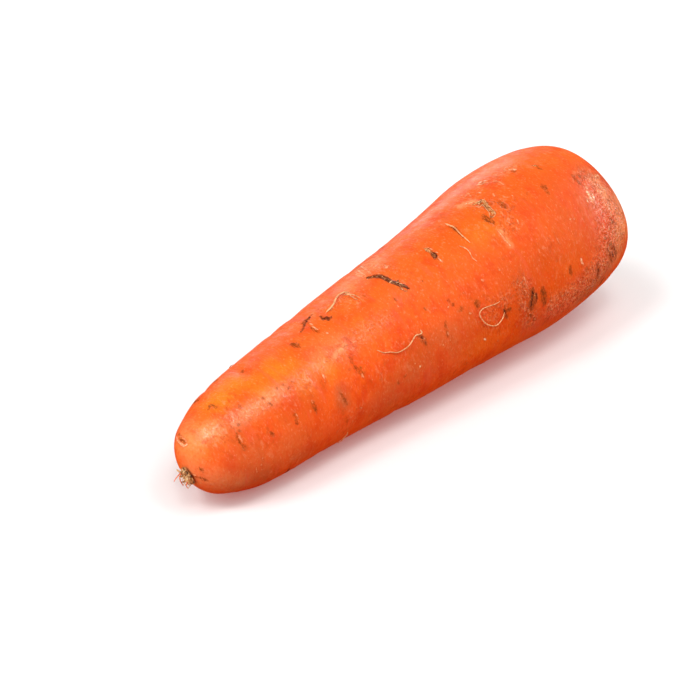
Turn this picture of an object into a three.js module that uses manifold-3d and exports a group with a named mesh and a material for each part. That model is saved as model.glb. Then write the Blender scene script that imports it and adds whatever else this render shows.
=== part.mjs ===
// A thick conical carrot lying on its side: one taproot with a hollow crown, the cut leaf
// stalks that stand in the hollow, the dried leaf bases round them, and the rootlets at the
// tail. Millimetres, +Z up. The tail points to -X and the crown to +X.
import * as THREE from 'three';
import { mergeVertices } from 'three/addons/utils/BufferGeometryUtils.js';
import Module from 'manifold-3d';

const wasm = await Module();
wasm.setup();

// ---------------------------------------------------------------- driving dimensions
// Stations are measured along the root's axis from the tail.
const ROOT_LENGTH = 174.5;
const SHOULDER_RADIUS = 28;
const SHOULDER_STATION = 142;
const RIM_RADIUS = 15;
const MOUTH_RADIUS = 13.5;
const HOLLOW_DEPTH = 8;
const GAP = 0.3;

// How it lies: the axis rises from the tail to the crown, and the underside is a little flat.
const LIE_TILT = THREE.MathUtils.degToRad(5.4);
const TAIL_HEIGHT = 14.15;

// A slight S-shaped bend of the axis, sideways.
const BEND_SWING = 0.36;
const BEND_WAVE = 97;
const BEND_CREST = 49.5;
const BEND_SHIFT = -0.3;

// The shoulder is a little fuller on one side, so the crown faces slightly away from it.
// Angles round the axis start at the top and turn towards -Y.
const SHOULDER_LEAN = 2;
const SHOULDER_LEAN_ANGLE = THREE.MathUtils.degToRad(128);
const SHOULDER_LEAN_START = 140;
const CROWN_LEAN_SHARE = 0.8;

// Skin relief: long low swellings, short creases round the root, and a wavy crown rim.
// It fades out within RELIEF_FADE of the axis, at the tail and on the hollow's floor.
const LUMP_COUNT = 9;
const LUMP_HEIGHT = 0.035;
const LUMP_WAVE = { low: 32, high: 90 };
const CREASE_COUNT = 54;
const CREASE_STATION = { low: 14, high: SHOULDER_STATION + 14 };
const CREASE_HALF_WIDTH = 1.9;
const CREASE_DEPTH = { low: 0.15, high: 0.4 };
const CREASE_HALF_LENGTH = { low: 4, high: 9 };
const RIM_WAVE = { height: 0.5, lobes: 3, turn: 0.7, start: SHOULDER_STATION + 22, reach: 6 };
const RELIEF_FADE = 12;

// Mesh fineness: distance between rings, and sides of a ring.
const RING_STEP = { tail: 2, body: 3.1, shoulder: 1.9 };
const TAIL_TURN_END = 12;
const SHOULDER_TURN_START = SHOULDER_STATION + 16;
const RING_SIDES = 60;

// Seeds: each grows its own organ the same way at every build.
const SEEDS = { skin: 5, stalks: 7, scales: 31, rootlets: 11 };

// Leaf stalks, dried leaf bases and rootlets.
const STALK_CORE = { radius: 4.4, height: 9.4 };
const STALK_COUNT = 5;
const STALK_RING = 4.8;
const STALK_RADIUS = { low: 3.1, high: 3.6 };
const STALK_HEIGHT = { low: 5.6, high: 8.8 };
const STALK_FLATNESS = { across: 0.9, round: 1.35 };
const DRY_RING_INNER = 8.4;
const DRY_RING_HEIGHT = 2.5;
const DRY_SCALE_COUNT = 26;
const DRY_SCALE_LENGTH = { low: 3.2, high: 5.6 };
const DRY_SCALE_LEAN = { low: 0.15, high: 0.45 };
const DRY_SCALE = { base: 1, tip: 0.45, breadth: 1.15, thickness: 0.42, sunk: 0.7 };
const SCAR_RADIUS = 2.9;
const SCAR_THICKNESS = 1;
const SCAR_DROP = 2.2;
const ROOTLET_COUNT = 9;
const ROOTLET_RADIUS = 0.34;
const ROOTLET_LENGTH = { low: 1.2, high: 2.4 };

// ---------------------------------------------------------------- derived places
const HOLLOW_FLOOR = ROOT_LENGTH - HOLLOW_DEPTH;

// Half of the root's section: [station, radius] from the tail, over the crown's rim and down
// to the middle of the hollow's floor.
const ROOT_OUTLINE = [
  [0, 0],
  [1, 6],
  [4, 10.2],
  [9, 13],
  [16, 15.6],
  [26, 17.2],
  [40, 18.4],
  [60, 20.2],
  [80, 22.3],
  [100, 23.9],
  [120, 26.1],
  [SHOULDER_STATION - 9, 27.7],
  [SHOULDER_STATION, SHOULDER_RADIUS],
  [SHOULDER_STATION + 11, 27.6],
  [SHOULDER_STATION + 20, 26.5],
  [SHOULDER_STATION + 26, 24.5],
  [SHOULDER_STATION + 30, 21.4],
  [ROOT_LENGTH - 0.6, RIM_RADIUS + 2.6],
  [ROOT_LENGTH, RIM_RADIUS],
  [ROOT_LENGTH - 0.9, MOUTH_RADIUS],
  [ROOT_LENGTH - 4, MOUTH_RADIUS - 1.8],
  [HOLLOW_FLOOR + 1.2, MOUTH_RADIUS - 3.2],
  [HOLLOW_FLOOR, MOUTH_RADIUS - 6.2],
  [HOLLOW_FLOOR, 0]
];

// ---------------------------------------------------------------- helpers
// A seeded source of numbers from 0 to 1, so that every build grows the same carrot.
function seededRandom(seed) {
  let state = seed;
  return () => {
    state = (state * 1664525 + 1013904223) % 4294967296;
    return state / 4294967296;
  };
}

function between(random, range) {
  return range.low + (range.high - range.low) * random();
}

// The sideways place of the root's axis at a station.
function bendAt(station) {
  return BEND_SHIFT + BEND_SWING * Math.cos(2 * Math.PI * (station - BEND_CREST) / BEND_WAVE);
}

// How far the shoulder's fuller side pushes a point of the skin towards the crown.
function leanAt(station, angle, radius) {
  const reach = (station - SHOULDER_LEAN_START) / (ROOT_LENGTH - SHOULDER_LEAN_START);
  const share = Math.min(Math.max(reach, 0), 1) ** 2;
  return SHOULDER_LEAN * share * Math.cos(angle - SHOULDER_LEAN_ANGLE) * radius / SHOULDER_RADIUS;
}

// The point of the axis at a station, as it lies.
function axisPoint(station) {
  return new THREE.Vector3(
    station * Math.cos(LIE_TILT),
    bendAt(station),
    TAIL_HEIGHT + station * Math.sin(LIE_TILT)
  );
}

// Turns a closed geometry into a manifold solid.
function toSolid(geometry) {
  const bare = geometry.clone();
  bare.deleteAttribute('normal');
  bare.deleteAttribute('uv');
  const welded = mergeVertices(bare, 1e-4);
  return new wasm.Manifold(new wasm.Mesh({
    numProp: 3,
    vertProperties: Float32Array.from(welded.attributes.position.array),
    triVerts: Uint32Array.from(welded.index.array)
  }));
}

// Fuses closed geometries into one body.
function fuse(geometries) {
  const solid = wasm.Manifold.union(geometries.map(toSolid));
  const { vertProperties, triVerts } = solid.getMesh();
  const fused = new THREE.BufferGeometry();
  fused.setAttribute('position', new THREE.BufferAttribute(vertProperties, 3));
  fused.setIndex(new THREE.BufferAttribute(triVerts, 1));
  fused.computeVertexNormals();
  return fused;
}

// A named mesh with a plain matt or satin material.
function piece(name, geometry, color, roughness) {
  const material = new THREE.MeshStandardMaterial({ color, roughness, metalness: 0 });
  const mesh = new THREE.Mesh(geometry, material);
  mesh.name = name;
  return mesh;
}

// ---------------------------------------------------------------- taproot
// Rings of the outline: closer together where it turns tightly.
function outlineRings() {
  const points = ROOT_OUTLINE.map(([station, radius]) => new THREE.Vector3(station, radius, 0));
  const curve = new THREE.CatmullRomCurve3(points, false, 'centripetal');
  const length = curve.getLength();
  const rings = [];
  let along = 0;
  while (along < length) {
    const point = curve.getPointAt(along / length);
    rings.push({ station: point.x, radius: Math.max(point.y, 0) });
    if (point.x > SHOULDER_TURN_START) {
      along += RING_STEP.shoulder;
    } else {
      along += point.x < TAIL_TURN_END ? RING_STEP.tail : RING_STEP.body;
    }
  }
  return rings.slice(1);
}

// Long low swellings of the skin, as a function of station and angle.
function makeLumps(random) {
  const waves = [];
  for (let i = 0; i < LUMP_COUNT; i += 1) {
    waves.push({
      around: 2 + i % 3,
      wave: between(random, LUMP_WAVE),
      turn: 2 * Math.PI * random(),
      shift: 2 * Math.PI * random()
    });
  }
  return (station, angle) => waves.reduce((height, { around, wave, turn, shift }) => {
    const alongWave = Math.cos(2 * Math.PI * station / wave + shift);
    return height + LUMP_HEIGHT * Math.cos(around * angle + turn) * alongWave;
  }, 0);
}

// Short shallow creases that run round the root, as on any carrot's skin.
function makeCreases(random) {
  const creases = [];
  for (let i = 0; i < CREASE_COUNT; i += 1) {
    creases.push({
      station: between(random, CREASE_STATION),
      angle: 2 * Math.PI * random(),
      depth: between(random, CREASE_DEPTH),
      halfLength: between(random, CREASE_HALF_LENGTH)
    });
  }
  return (station, angle, radius) => creases.reduce((depth, crease) => {
    const along = (station - crease.station) / CREASE_HALF_WIDTH;
    const turn = Math.atan2(Math.sin(angle - crease.angle), Math.cos(angle - crease.angle));
    const round = turn * radius / crease.halfLength;
    if (Math.abs(along) > 3 || Math.abs(round) > 1) {
      return depth;
    }
    return depth + crease.depth * Math.exp(-along * along) * (1 - round * round) ** 2;
  }, 0);
}

// The crown's rim is drawn in and out a few times round the root.
function rimWaveAt(station, angle) {
  const share = Math.min(Math.max((station - RIM_WAVE.start) / RIM_WAVE.reach, 0), 1);
  return share * RIM_WAVE.height * Math.cos(RIM_WAVE.lobes * angle + RIM_WAVE.turn);
}

// One closed skin through every ring, with a point at the tail and one on the hollow's floor.
function taprootGeometry() {
  const random = seededRandom(SEEDS.skin);
  const lumpAt = makeLumps(random);
  const creaseAt = makeCreases(random);
  const rings = outlineRings();
  const vertices = [];
  const addPoint = (station, angle, radius) => {
    const centre = axisPoint(station + leanAt(station, angle, radius));
    vertices.push(
      centre.x - radius * Math.cos(angle) * Math.sin(LIE_TILT),
      centre.y - radius * Math.sin(angle),
      Math.max(centre.z + radius * Math.cos(angle) * Math.cos(LIE_TILT), 0)
    );
  };
  addPoint(0, 0, 0);
  for (const { station, radius } of rings) {
    for (let side = 0; side < RING_SIDES; side += 1) {
      const angle = 2 * Math.PI * side / RING_SIDES;
      const share = Math.min(radius / RELIEF_FADE, 1);
      const skin = lumpAt(station, angle) - creaseAt(station, angle, radius);
      addPoint(station, angle, radius + share * (skin + rimWaveAt(station, angle)));
    }
  }
  addPoint(HOLLOW_FLOOR, 0, 0);

  const faces = [];
  const corner = (ring, side) => 1 + ring * RING_SIDES + side % RING_SIDES;
  const last = rings.length - 1;
  for (let side = 0; side < RING_SIDES; side += 1) {
    faces.push(0, corner(0, side + 1), corner(0, side));
    for (let ring = 0; ring < last; ring += 1) {
      faces.push(corner(ring, side), corner(ring + 1, side + 1), corner(ring + 1, side));
      faces.push(corner(ring, side), corner(ring, side + 1), corner(ring + 1, side + 1));
    }
    faces.push(corner(last, side), corner(last, side + 1), vertices.length / 3 - 1);
  }
  const geometry = new THREE.BufferGeometry();
  geometry.setAttribute('position', new THREE.Float32BufferAttribute(vertices, 3));
  geometry.setIndex(faces);
  geometry.computeVertexNormals();
  return geometry;
}

// ---------------------------------------------------------------- leaf stalk stubs
// A stub is a short upright knob with a rounded end, built along +X from the hollow's floor.
// Those of the ring are broader round the root's axis than across it.
function stalkStub(radius, height, flatness, offset, angle) {
  const profile = [
    [0, 0],
    [radius * 0.86, 0],
    [radius, height * 0.45],
    [radius * 0.93, height * 0.8],
    [radius * 0.6, height * 0.97],
    [0, height]
  ].map(([r, h]) => new THREE.Vector2(r, h));
  const geometry = new THREE.LatheGeometry(profile, 18);
  geometry.scale(flatness.round, 1, flatness.across);
  geometry.translate(0, 0, offset);
  geometry.rotateY(angle);
  geometry.rotateZ(-Math.PI / 2);
  return geometry;
}

// A rosette: one middle stub and a ring of broader ones that wrap round it.
function stalkGeometry() {
  const random = seededRandom(SEEDS.stalks);
  const stubs = [stalkStub(STALK_CORE.radius, STALK_CORE.height, { across: 1, round: 1 }, 0, 0)];
  for (let i = 0; i < STALK_COUNT; i += 1) {
    const angle = 2 * Math.PI * (i + 0.35 * random()) / STALK_COUNT;
    const radius = between(random, STALK_RADIUS);
    const height = between(random, STALK_HEIGHT);
    stubs.push(stalkStub(radius, height, STALK_FLATNESS, STALK_RING, angle));
  }
  return fuse(stubs);
}

// ---------------------------------------------------------------- dried leaf bases
// A ragged ring of short flat scales that lean outward along the hollow's wall.
function dryLeafGeometry() {
  const random = seededRandom(SEEDS.scales);
  const section = [
    [DRY_RING_INNER, 0.6],
    [DRY_RING_INNER + 0.7, 1.2],
    [DRY_RING_INNER + 1.5, DRY_RING_HEIGHT],
    [DRY_RING_INNER + 0.1, DRY_RING_HEIGHT - 0.2],
    [DRY_RING_INNER, 0.6]
  ];
  const ring = new THREE.LatheGeometry(section.map(([r, h]) => new THREE.Vector2(r, h)), 44);
  ring.rotateZ(-Math.PI / 2);
  const parts = [ring];
  for (let i = 0; i < DRY_SCALE_COUNT; i += 1) {
    const length = between(random, DRY_SCALE_LENGTH);
    const scale = new THREE.CylinderGeometry(DRY_SCALE.tip, DRY_SCALE.base, length, 6);
    scale.scale(DRY_SCALE.breadth, 1, DRY_SCALE.thickness);
    scale.translate(0, length / 2, 0);
    scale.rotateX(between(random, DRY_SCALE_LEAN));
    scale.translate(0, DRY_RING_HEIGHT - DRY_SCALE.sunk, DRY_RING_INNER + 0.7);
    scale.rotateY(2 * Math.PI * (i + 0.5 * random()) / DRY_SCALE_COUNT);
    scale.rotateZ(-Math.PI / 2);
    parts.push(scale);
  }
  return fuse(parts);
}

// ---------------------------------------------------------------- tail rootlets
// The scar is a small low pad, and each rootlet bends outward from it to a broken end.
function rootletGeometry() {
  const random = seededRandom(SEEDS.rootlets);
  const pad = new THREE.LatheGeometry([
    new THREE.Vector2(0, 0),
    new THREE.Vector2(SCAR_RADIUS, 0),
    new THREE.Vector2(SCAR_RADIUS * 0.85, SCAR_THICKNESS * 0.7),
    new THREE.Vector2(0, SCAR_THICKNESS)
  ], 16);
  pad.rotateZ(Math.PI / 2);
  const parts = [pad];
  const section = new THREE.Shape();
  section.absarc(0, 0, ROOTLET_RADIUS, 0, 2 * Math.PI);
  for (let i = 0; i < ROOTLET_COUNT; i += 1) {
    const angle = 2 * Math.PI * (i + 0.6 * random()) / ROOTLET_COUNT;
    const length = between(random, ROOTLET_LENGTH);
    const start = SCAR_RADIUS * between(random, { low: 0.2, high: 0.6 });
    const along = [[start, 0.5], [start + length * 0.4, 1], [start + length, 1 + length * 0.2]];
    const path = new THREE.CatmullRomCurve3(along.map(([out, high]) => (
      new THREE.Vector3(-high, -out * Math.sin(angle), out * Math.cos(angle))
    )));
    parts.push(new THREE.ExtrudeGeometry(section, {
      extrudePath: path,
      steps: 4,
      curveSegments: 3,
      bevelEnabled: false
    }));
  }
  return fuse(parts);
}

// ---------------------------------------------------------------- assembly
const carrot = new THREE.Group();
carrot.add(piece('taproot', taprootGeometry(), 0xe2601f, 0.45));

// Organs at the crown stand on the hollow's floor and lean with the shoulder.
const crown = new THREE.Group();
crown.position.copy(axisPoint(HOLLOW_FLOOR + GAP));
crown.rotation.y = -LIE_TILT;
const rosette = new THREE.Group();
const lean = CROWN_LEAN_SHARE * SHOULDER_LEAN / SHOULDER_RADIUS;
rosette.quaternion.setFromUnitVectors(new THREE.Vector3(1, 0, 0), new THREE.Vector3(
  1,
  lean * Math.sin(SHOULDER_LEAN_ANGLE),
  -lean * Math.cos(SHOULDER_LEAN_ANGLE)
).normalize());
rosette.add(piece('leaf_stalk_stubs', stalkGeometry(), 0xb99a52, 0.7));
rosette.add(piece('dry_leaf_bases', dryLeafGeometry(), 0x4a3322, 0.9));
crown.add(rosette);
carrot.add(crown);

// The tuft sits just below the middle of the blunt tail.
const tail = new THREE.Group();
tail.position.copy(axisPoint(-GAP));
tail.rotation.y = -LIE_TILT;
const tuft = piece('tail_rootlets', rootletGeometry(), 0xb98a58, 0.85);
tuft.position.z = -SCAR_DROP;
tail.add(tuft);
carrot.add(tail);

// The origin is the middle of the footprint, on the surface that the carrot lies on.
const centre = new THREE.Box3().setFromObject(carrot, true).getCenter(new THREE.Vector3());
carrot.position.set(-centre.x, -centre.y, 0);

const group = new THREE.Group();
group.add(carrot);
export default group;
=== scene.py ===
"""A thick conical carrot lying on its side on a pale surface.

The frame gives the carrot's solids in metres, +Z up, with the tail towards -X and the crown
towards +X. This script grows a finer skin, crown and tail over them, in millimetres, dresses
each in its own finish, and lights the carrot in a plain studio.
"""
import logging
import math
from dataclasses import dataclass, field
from enum import Enum
from functools import partial
from typing import Any, Callable, Iterable, Sequence

import bpy
import numpy as np
from mathutils import Matrix, Vector
from mathutils.bvhtree import BVHTree


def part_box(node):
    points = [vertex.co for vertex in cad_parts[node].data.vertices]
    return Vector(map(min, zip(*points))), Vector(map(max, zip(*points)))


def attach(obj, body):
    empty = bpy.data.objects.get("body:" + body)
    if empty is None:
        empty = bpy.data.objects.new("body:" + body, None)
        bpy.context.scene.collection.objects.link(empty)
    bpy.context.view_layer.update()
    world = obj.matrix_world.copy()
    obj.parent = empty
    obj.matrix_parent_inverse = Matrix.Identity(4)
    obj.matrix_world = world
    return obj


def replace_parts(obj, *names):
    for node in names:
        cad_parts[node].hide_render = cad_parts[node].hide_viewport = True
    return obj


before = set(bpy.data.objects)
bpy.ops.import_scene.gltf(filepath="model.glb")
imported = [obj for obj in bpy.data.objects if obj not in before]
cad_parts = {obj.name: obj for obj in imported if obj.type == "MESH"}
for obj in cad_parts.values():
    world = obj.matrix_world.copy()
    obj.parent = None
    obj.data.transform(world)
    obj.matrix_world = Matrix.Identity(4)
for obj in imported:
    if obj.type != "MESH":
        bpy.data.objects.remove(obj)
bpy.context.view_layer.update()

LOG = logging.getLogger("carrot")

MM = 0.001  # one millimetre in metres
BODY = "root"  # the one body that everything rides on
IMAGE_SIDE = 700  # the image is this many pixels wide and high
SENSOR_WIDTH = 36.0
NO_MARK = -3.0  # a mark's field, in mm, where there is no mark near
TINY = 1e-9  # keeps a division from failing
ASKEW = (0.12, 0.31, 0.94)  # a direction that no thread runs in
END_WIDTH = 0.45  # a mark's width at its ends, as a share of its widest
GRAZING = 0.08  # skin that faces the camera by less than this isn't seen
CLOUD_ROUGHNESS = 0.55  # how strong each finer layer of a cloud is beside the last

Pixel = tuple[float, float]
Route = tuple[Pixel, ...]  # image points that something on the skin passes
Span = tuple[float, float]  # the least and the most of a size
Grain = tuple[float, float]  # a pattern's size in millimetres, along the root and across it
Faces = list[tuple[int, ...]]
Material = bpy.types.Material
Piece = bpy.types.Object
Socket = bpy.types.NodeSocket
Tone = Socket | tuple[float, ...] | str  # a colour: an output, linear light or sRGB hex


# ---------- helpers
class Seeded:
    """A source of numbers from 0 to 1 that repeats itself for the same seed."""

    def __init__(self, seed: int) -> None:
        """Start the source from any whole number."""
        self.state = seed

    def next(self) -> float:
        """Return the next number from 0 to 1."""
        self.state = (self.state * 1664525 + 1013904223) % 2 ** 32
        return self.state / 2 ** 32

    def between(self, low: float, high: float) -> float:
        """Return the next number from low to high."""
        return low + (high - low) * self.next()

    def triple(self) -> np.ndarray:
        """Return the next three numbers from -1 to 1."""
        return np.array([self.between(-1, 1) for _ in range(3)])


def linear(colour: str) -> tuple[float, float, float, float]:
    """Turn an sRGB hex colour into linear light.

    Args:
        colour: Six hex digits after a hash sign.

    Returns:
        Red, green, blue and an alpha of 1, as a shader socket takes them.
    """
    parts = [int(colour[i:i + 2], 16) / 255 for i in (1, 3, 5)]
    light = [p / 12.92 if p <= 0.04045 else ((p + 0.055) / 1.055) ** 2.4 for p in parts]
    return (light[0], light[1], light[2], 1.0)


def smoothstep(low: float, high: float, value: np.ndarray) -> np.ndarray:
    """Rise smoothly from 0 at low to 1 at high."""
    share = np.clip((value - low) / (high - low), 0, 1)
    return share * share * (3 - 2 * share)


def turns(count: int) -> np.ndarray:
    """Return even angles round a full circle."""
    return 2 * math.pi * np.arange(count) / count


def walked(path: np.ndarray) -> np.ndarray:
    """Return the distance walked along a path at each of its points."""
    return np.concatenate([[0], np.cumsum(np.linalg.norm(np.diff(path, axis=0), axis=1))])


def towards(azimuth: float, elevation: float) -> np.ndarray:
    """Return a direction given in degrees, from -Y towards +X and over the horizon."""
    turn, rise = math.radians(azimuth), math.radians(elevation)
    level = math.cos(rise)
    return np.array([math.sin(turn) * level, -math.cos(turn) * level, math.sin(rise)])


def spot(angle: float, out: float, high: float) -> tuple[float, float, float]:
    """Return a place at an angle and a distance round the X axis, and so high along it."""
    return (high, -out * math.sin(angle), out * math.cos(angle))


def grid_faces(rows: int, sides: int, inward: bool = False) -> Faces:
    """Return the quads of a grid of rings, whose vertices run ring by ring.

    Args:
        rows: How many rings.
        sides: Vertices of a ring.
        inward: Whether to turn the quads over.

    Returns:
        The quads, strip by strip along the rings.
    """
    made: Faces = []
    for side in range(sides):
        beside = (side + 1) % sides
        for row in range(0, (rows - 1) * sides, sides):
            near, far = (row + side, row + beside), (row + sides + side, row + sides + beside)
            made.append((near[0], far[0], far[1], near[1]) if inward else (*near, far[1], far[0]))
    return made


def add_piece(
    name: str, points: np.ndarray, faces: Faces, material: Material,
    attributes: dict[str, np.ndarray],
) -> Piece:
    """Add a smooth mesh piece that rides on the carrot.

    Args:
        name: The piece's name.
        points: Vertex places in millimetres, one row each.
        faces: Vertex numbers of each face.
        material: The finish.
        attributes: A number at each vertex, by name, for the finish to read.

    Returns:
        The new object, at the origin.
    """
    mesh = bpy.data.meshes.new(name)
    mesh.from_pydata((points * MM).tolist(), [], faces)
    for key, values in attributes.items():
        layer = mesh.attributes.new(key, "FLOAT", "POINT")
        layer.data.foreach_set("value", np.asarray(values, dtype=np.float32).ravel())
    mesh.polygons.foreach_set("use_smooth", [True] * len(mesh.polygons))
    mesh.materials.append(material)
    mesh.update()
    piece = bpy.data.objects.new(name, mesh)
    bpy.context.scene.collection.objects.link(piece)
    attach(piece, BODY)
    LOG.info("%s: %d vertices, %d faces", name, len(points), len(faces))
    return piece


def smooth_path(points: np.ndarray, steps: int) -> np.ndarray:
    """Run a smooth curve through points.

    Args:
        points: The points to pass, one row each.
        steps: How many stretches each gap between two points is cut into.

    Returns:
        The curve's points, both ends among them.
    """
    padded = np.vstack([2 * points[0] - points[1], points, 2 * points[-1] - points[-2]])
    curve = [points[0]]
    for i in range(1, len(padded) - 2):
        a, b, c, d = padded[i - 1:i + 3]
        for step in range(1, steps + 1):
            t = step / steps
            curve.append(0.5 * (
                2 * b + (c - a) * t + (2 * a - 5 * b + 4 * c - d) * t ** 2
                + (3 * b - a - 3 * c + d) * t ** 3
            ))
    return np.array(curve)


class MeshHeap:
    """Vertices and faces of many small shells, gathered into one piece."""

    def __init__(self) -> None:
        """Start with nothing."""
        self.points: list[np.ndarray] = []
        self.faces: Faces = []
        self.tone: list[np.ndarray] = []
        self.count = 0

    def add(self, points: np.ndarray, faces: Faces, tone: float | np.ndarray) -> None:
        """Add a shell.

        Args:
            points: Its vertices, one row each.
            faces: Its faces, by its own vertex numbers.
            tone: A number from 0 to 1 for the finish to read, for all or for each vertex.
        """
        self.faces += [tuple(self.count + corner for corner in face) for face in faces]
        self.points.append(points)
        self.tone.append(np.broadcast_to(tone, len(points)))
        self.count += len(points)

    def add_thread(
        self, path: np.ndarray, radii: np.ndarray, sides: int, tone: float, flat: float = 1.0
    ) -> None:
        """Add a thin closed tube along a path.

        Args:
            path: The thread's middle line, one row a point.
            radii: Its radius at each point of the path.
            sides: Sides of its section.
            tone: Its tone.
            flat: Its thickness as a share of its breadth.
        """
        way = np.gradient(path, axis=0)
        way /= np.maximum(np.linalg.norm(way, axis=1, keepdims=True), TINY)
        across = np.cross(way, ASKEW)
        across /= np.maximum(np.linalg.norm(across, axis=1, keepdims=True), TINY)
        upward = np.cross(across, way)
        turn = turns(sides)[None, :, None]
        ring = across[:, None] * np.cos(turn) + upward[:, None] * np.sin(turn) * flat
        shell = (path[:, None] + ring * radii[:, None, None]).reshape(-1, 3)
        shell = np.vstack([shell, path[0], path[-1]])
        last = (len(path) - 1) * sides
        faces: Faces = []
        for side in range(sides):
            beside = (side + 1) % sides
            faces.append((len(shell) - 2, beside, side))
            faces.append((len(shell) - 1, last + side, last + beside))
            for row in range(0, last, sides):
                faces.append((row + side, row + beside, row + sides + beside, row + sides + side))
        self.add(shell, faces, tone)

    def add_strand(
        self, spots: Sequence[Sequence[float]], steps: int, radius: float, thin: float,
        sides: int, tone: float, flat: float = 1.0,
    ) -> None:
        """Add a thread through spots from its foot, whose tip is thin times as thick as that."""
        path = smooth_path(np.array(spots), steps)
        self.add_thread(path, radius * np.linspace(1, thin, len(path)), sides, tone, flat)

    def move(self, matrix: Matrix) -> None:
        """Move all the shells by a matrix in millimetres."""
        self.points = [np.array([matrix @ Vector(p) for p in shell]) for shell in self.points]

    def piece(self, name: str, material: Material, slot: str) -> Piece:
        """Make one piece of all the shells, with their tones in its attribute "tone"."""
        tone = {"tone": np.concatenate(self.tone)}
        return add_piece(name, np.vstack(self.points), self.faces, material, tone)


# ---------- the camera's place
@dataclass(frozen=True)
class Eye:
    """Where the camera stands, in millimetres and degrees."""

    azimuth: float = -44.52
    elevation: float = 34.98
    distance: float = 543.6
    target: tuple[float, float, float] = (-14.65, 6.52, 16.82)
    lens: float = 90.0

    def axes(self) -> tuple[np.ndarray, np.ndarray, np.ndarray]:
        """Return the directions of the camera's frame.

        Returns:
            The directions to the right, up and back towards the camera.
        """
        turn, back = math.radians(self.azimuth), towards(self.azimuth, self.elevation)
        right = np.array([math.cos(turn), math.sin(turn), 0.0])
        return right, np.cross(back, right), back

    def place(self) -> np.ndarray:
        """Return the camera's place."""
        return np.array(self.target) + self.axes()[2] * self.distance

    def ray(self, pixel: Pixel) -> np.ndarray:
        """Return the direction in which the camera sees a pixel.

        Args:
            pixel: The pixel's place from the image's upper left corner.

        Returns:
            The direction, of length 1.
        """
        right, up, back = self.axes()
        focal = self.lens / SENSOR_WIDTH * IMAGE_SIDE
        half = IMAGE_SIDE / 2
        way = right * (pixel[0] - half) / focal - up * (pixel[1] - half) / focal - back
        return way / np.linalg.norm(way)


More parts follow.
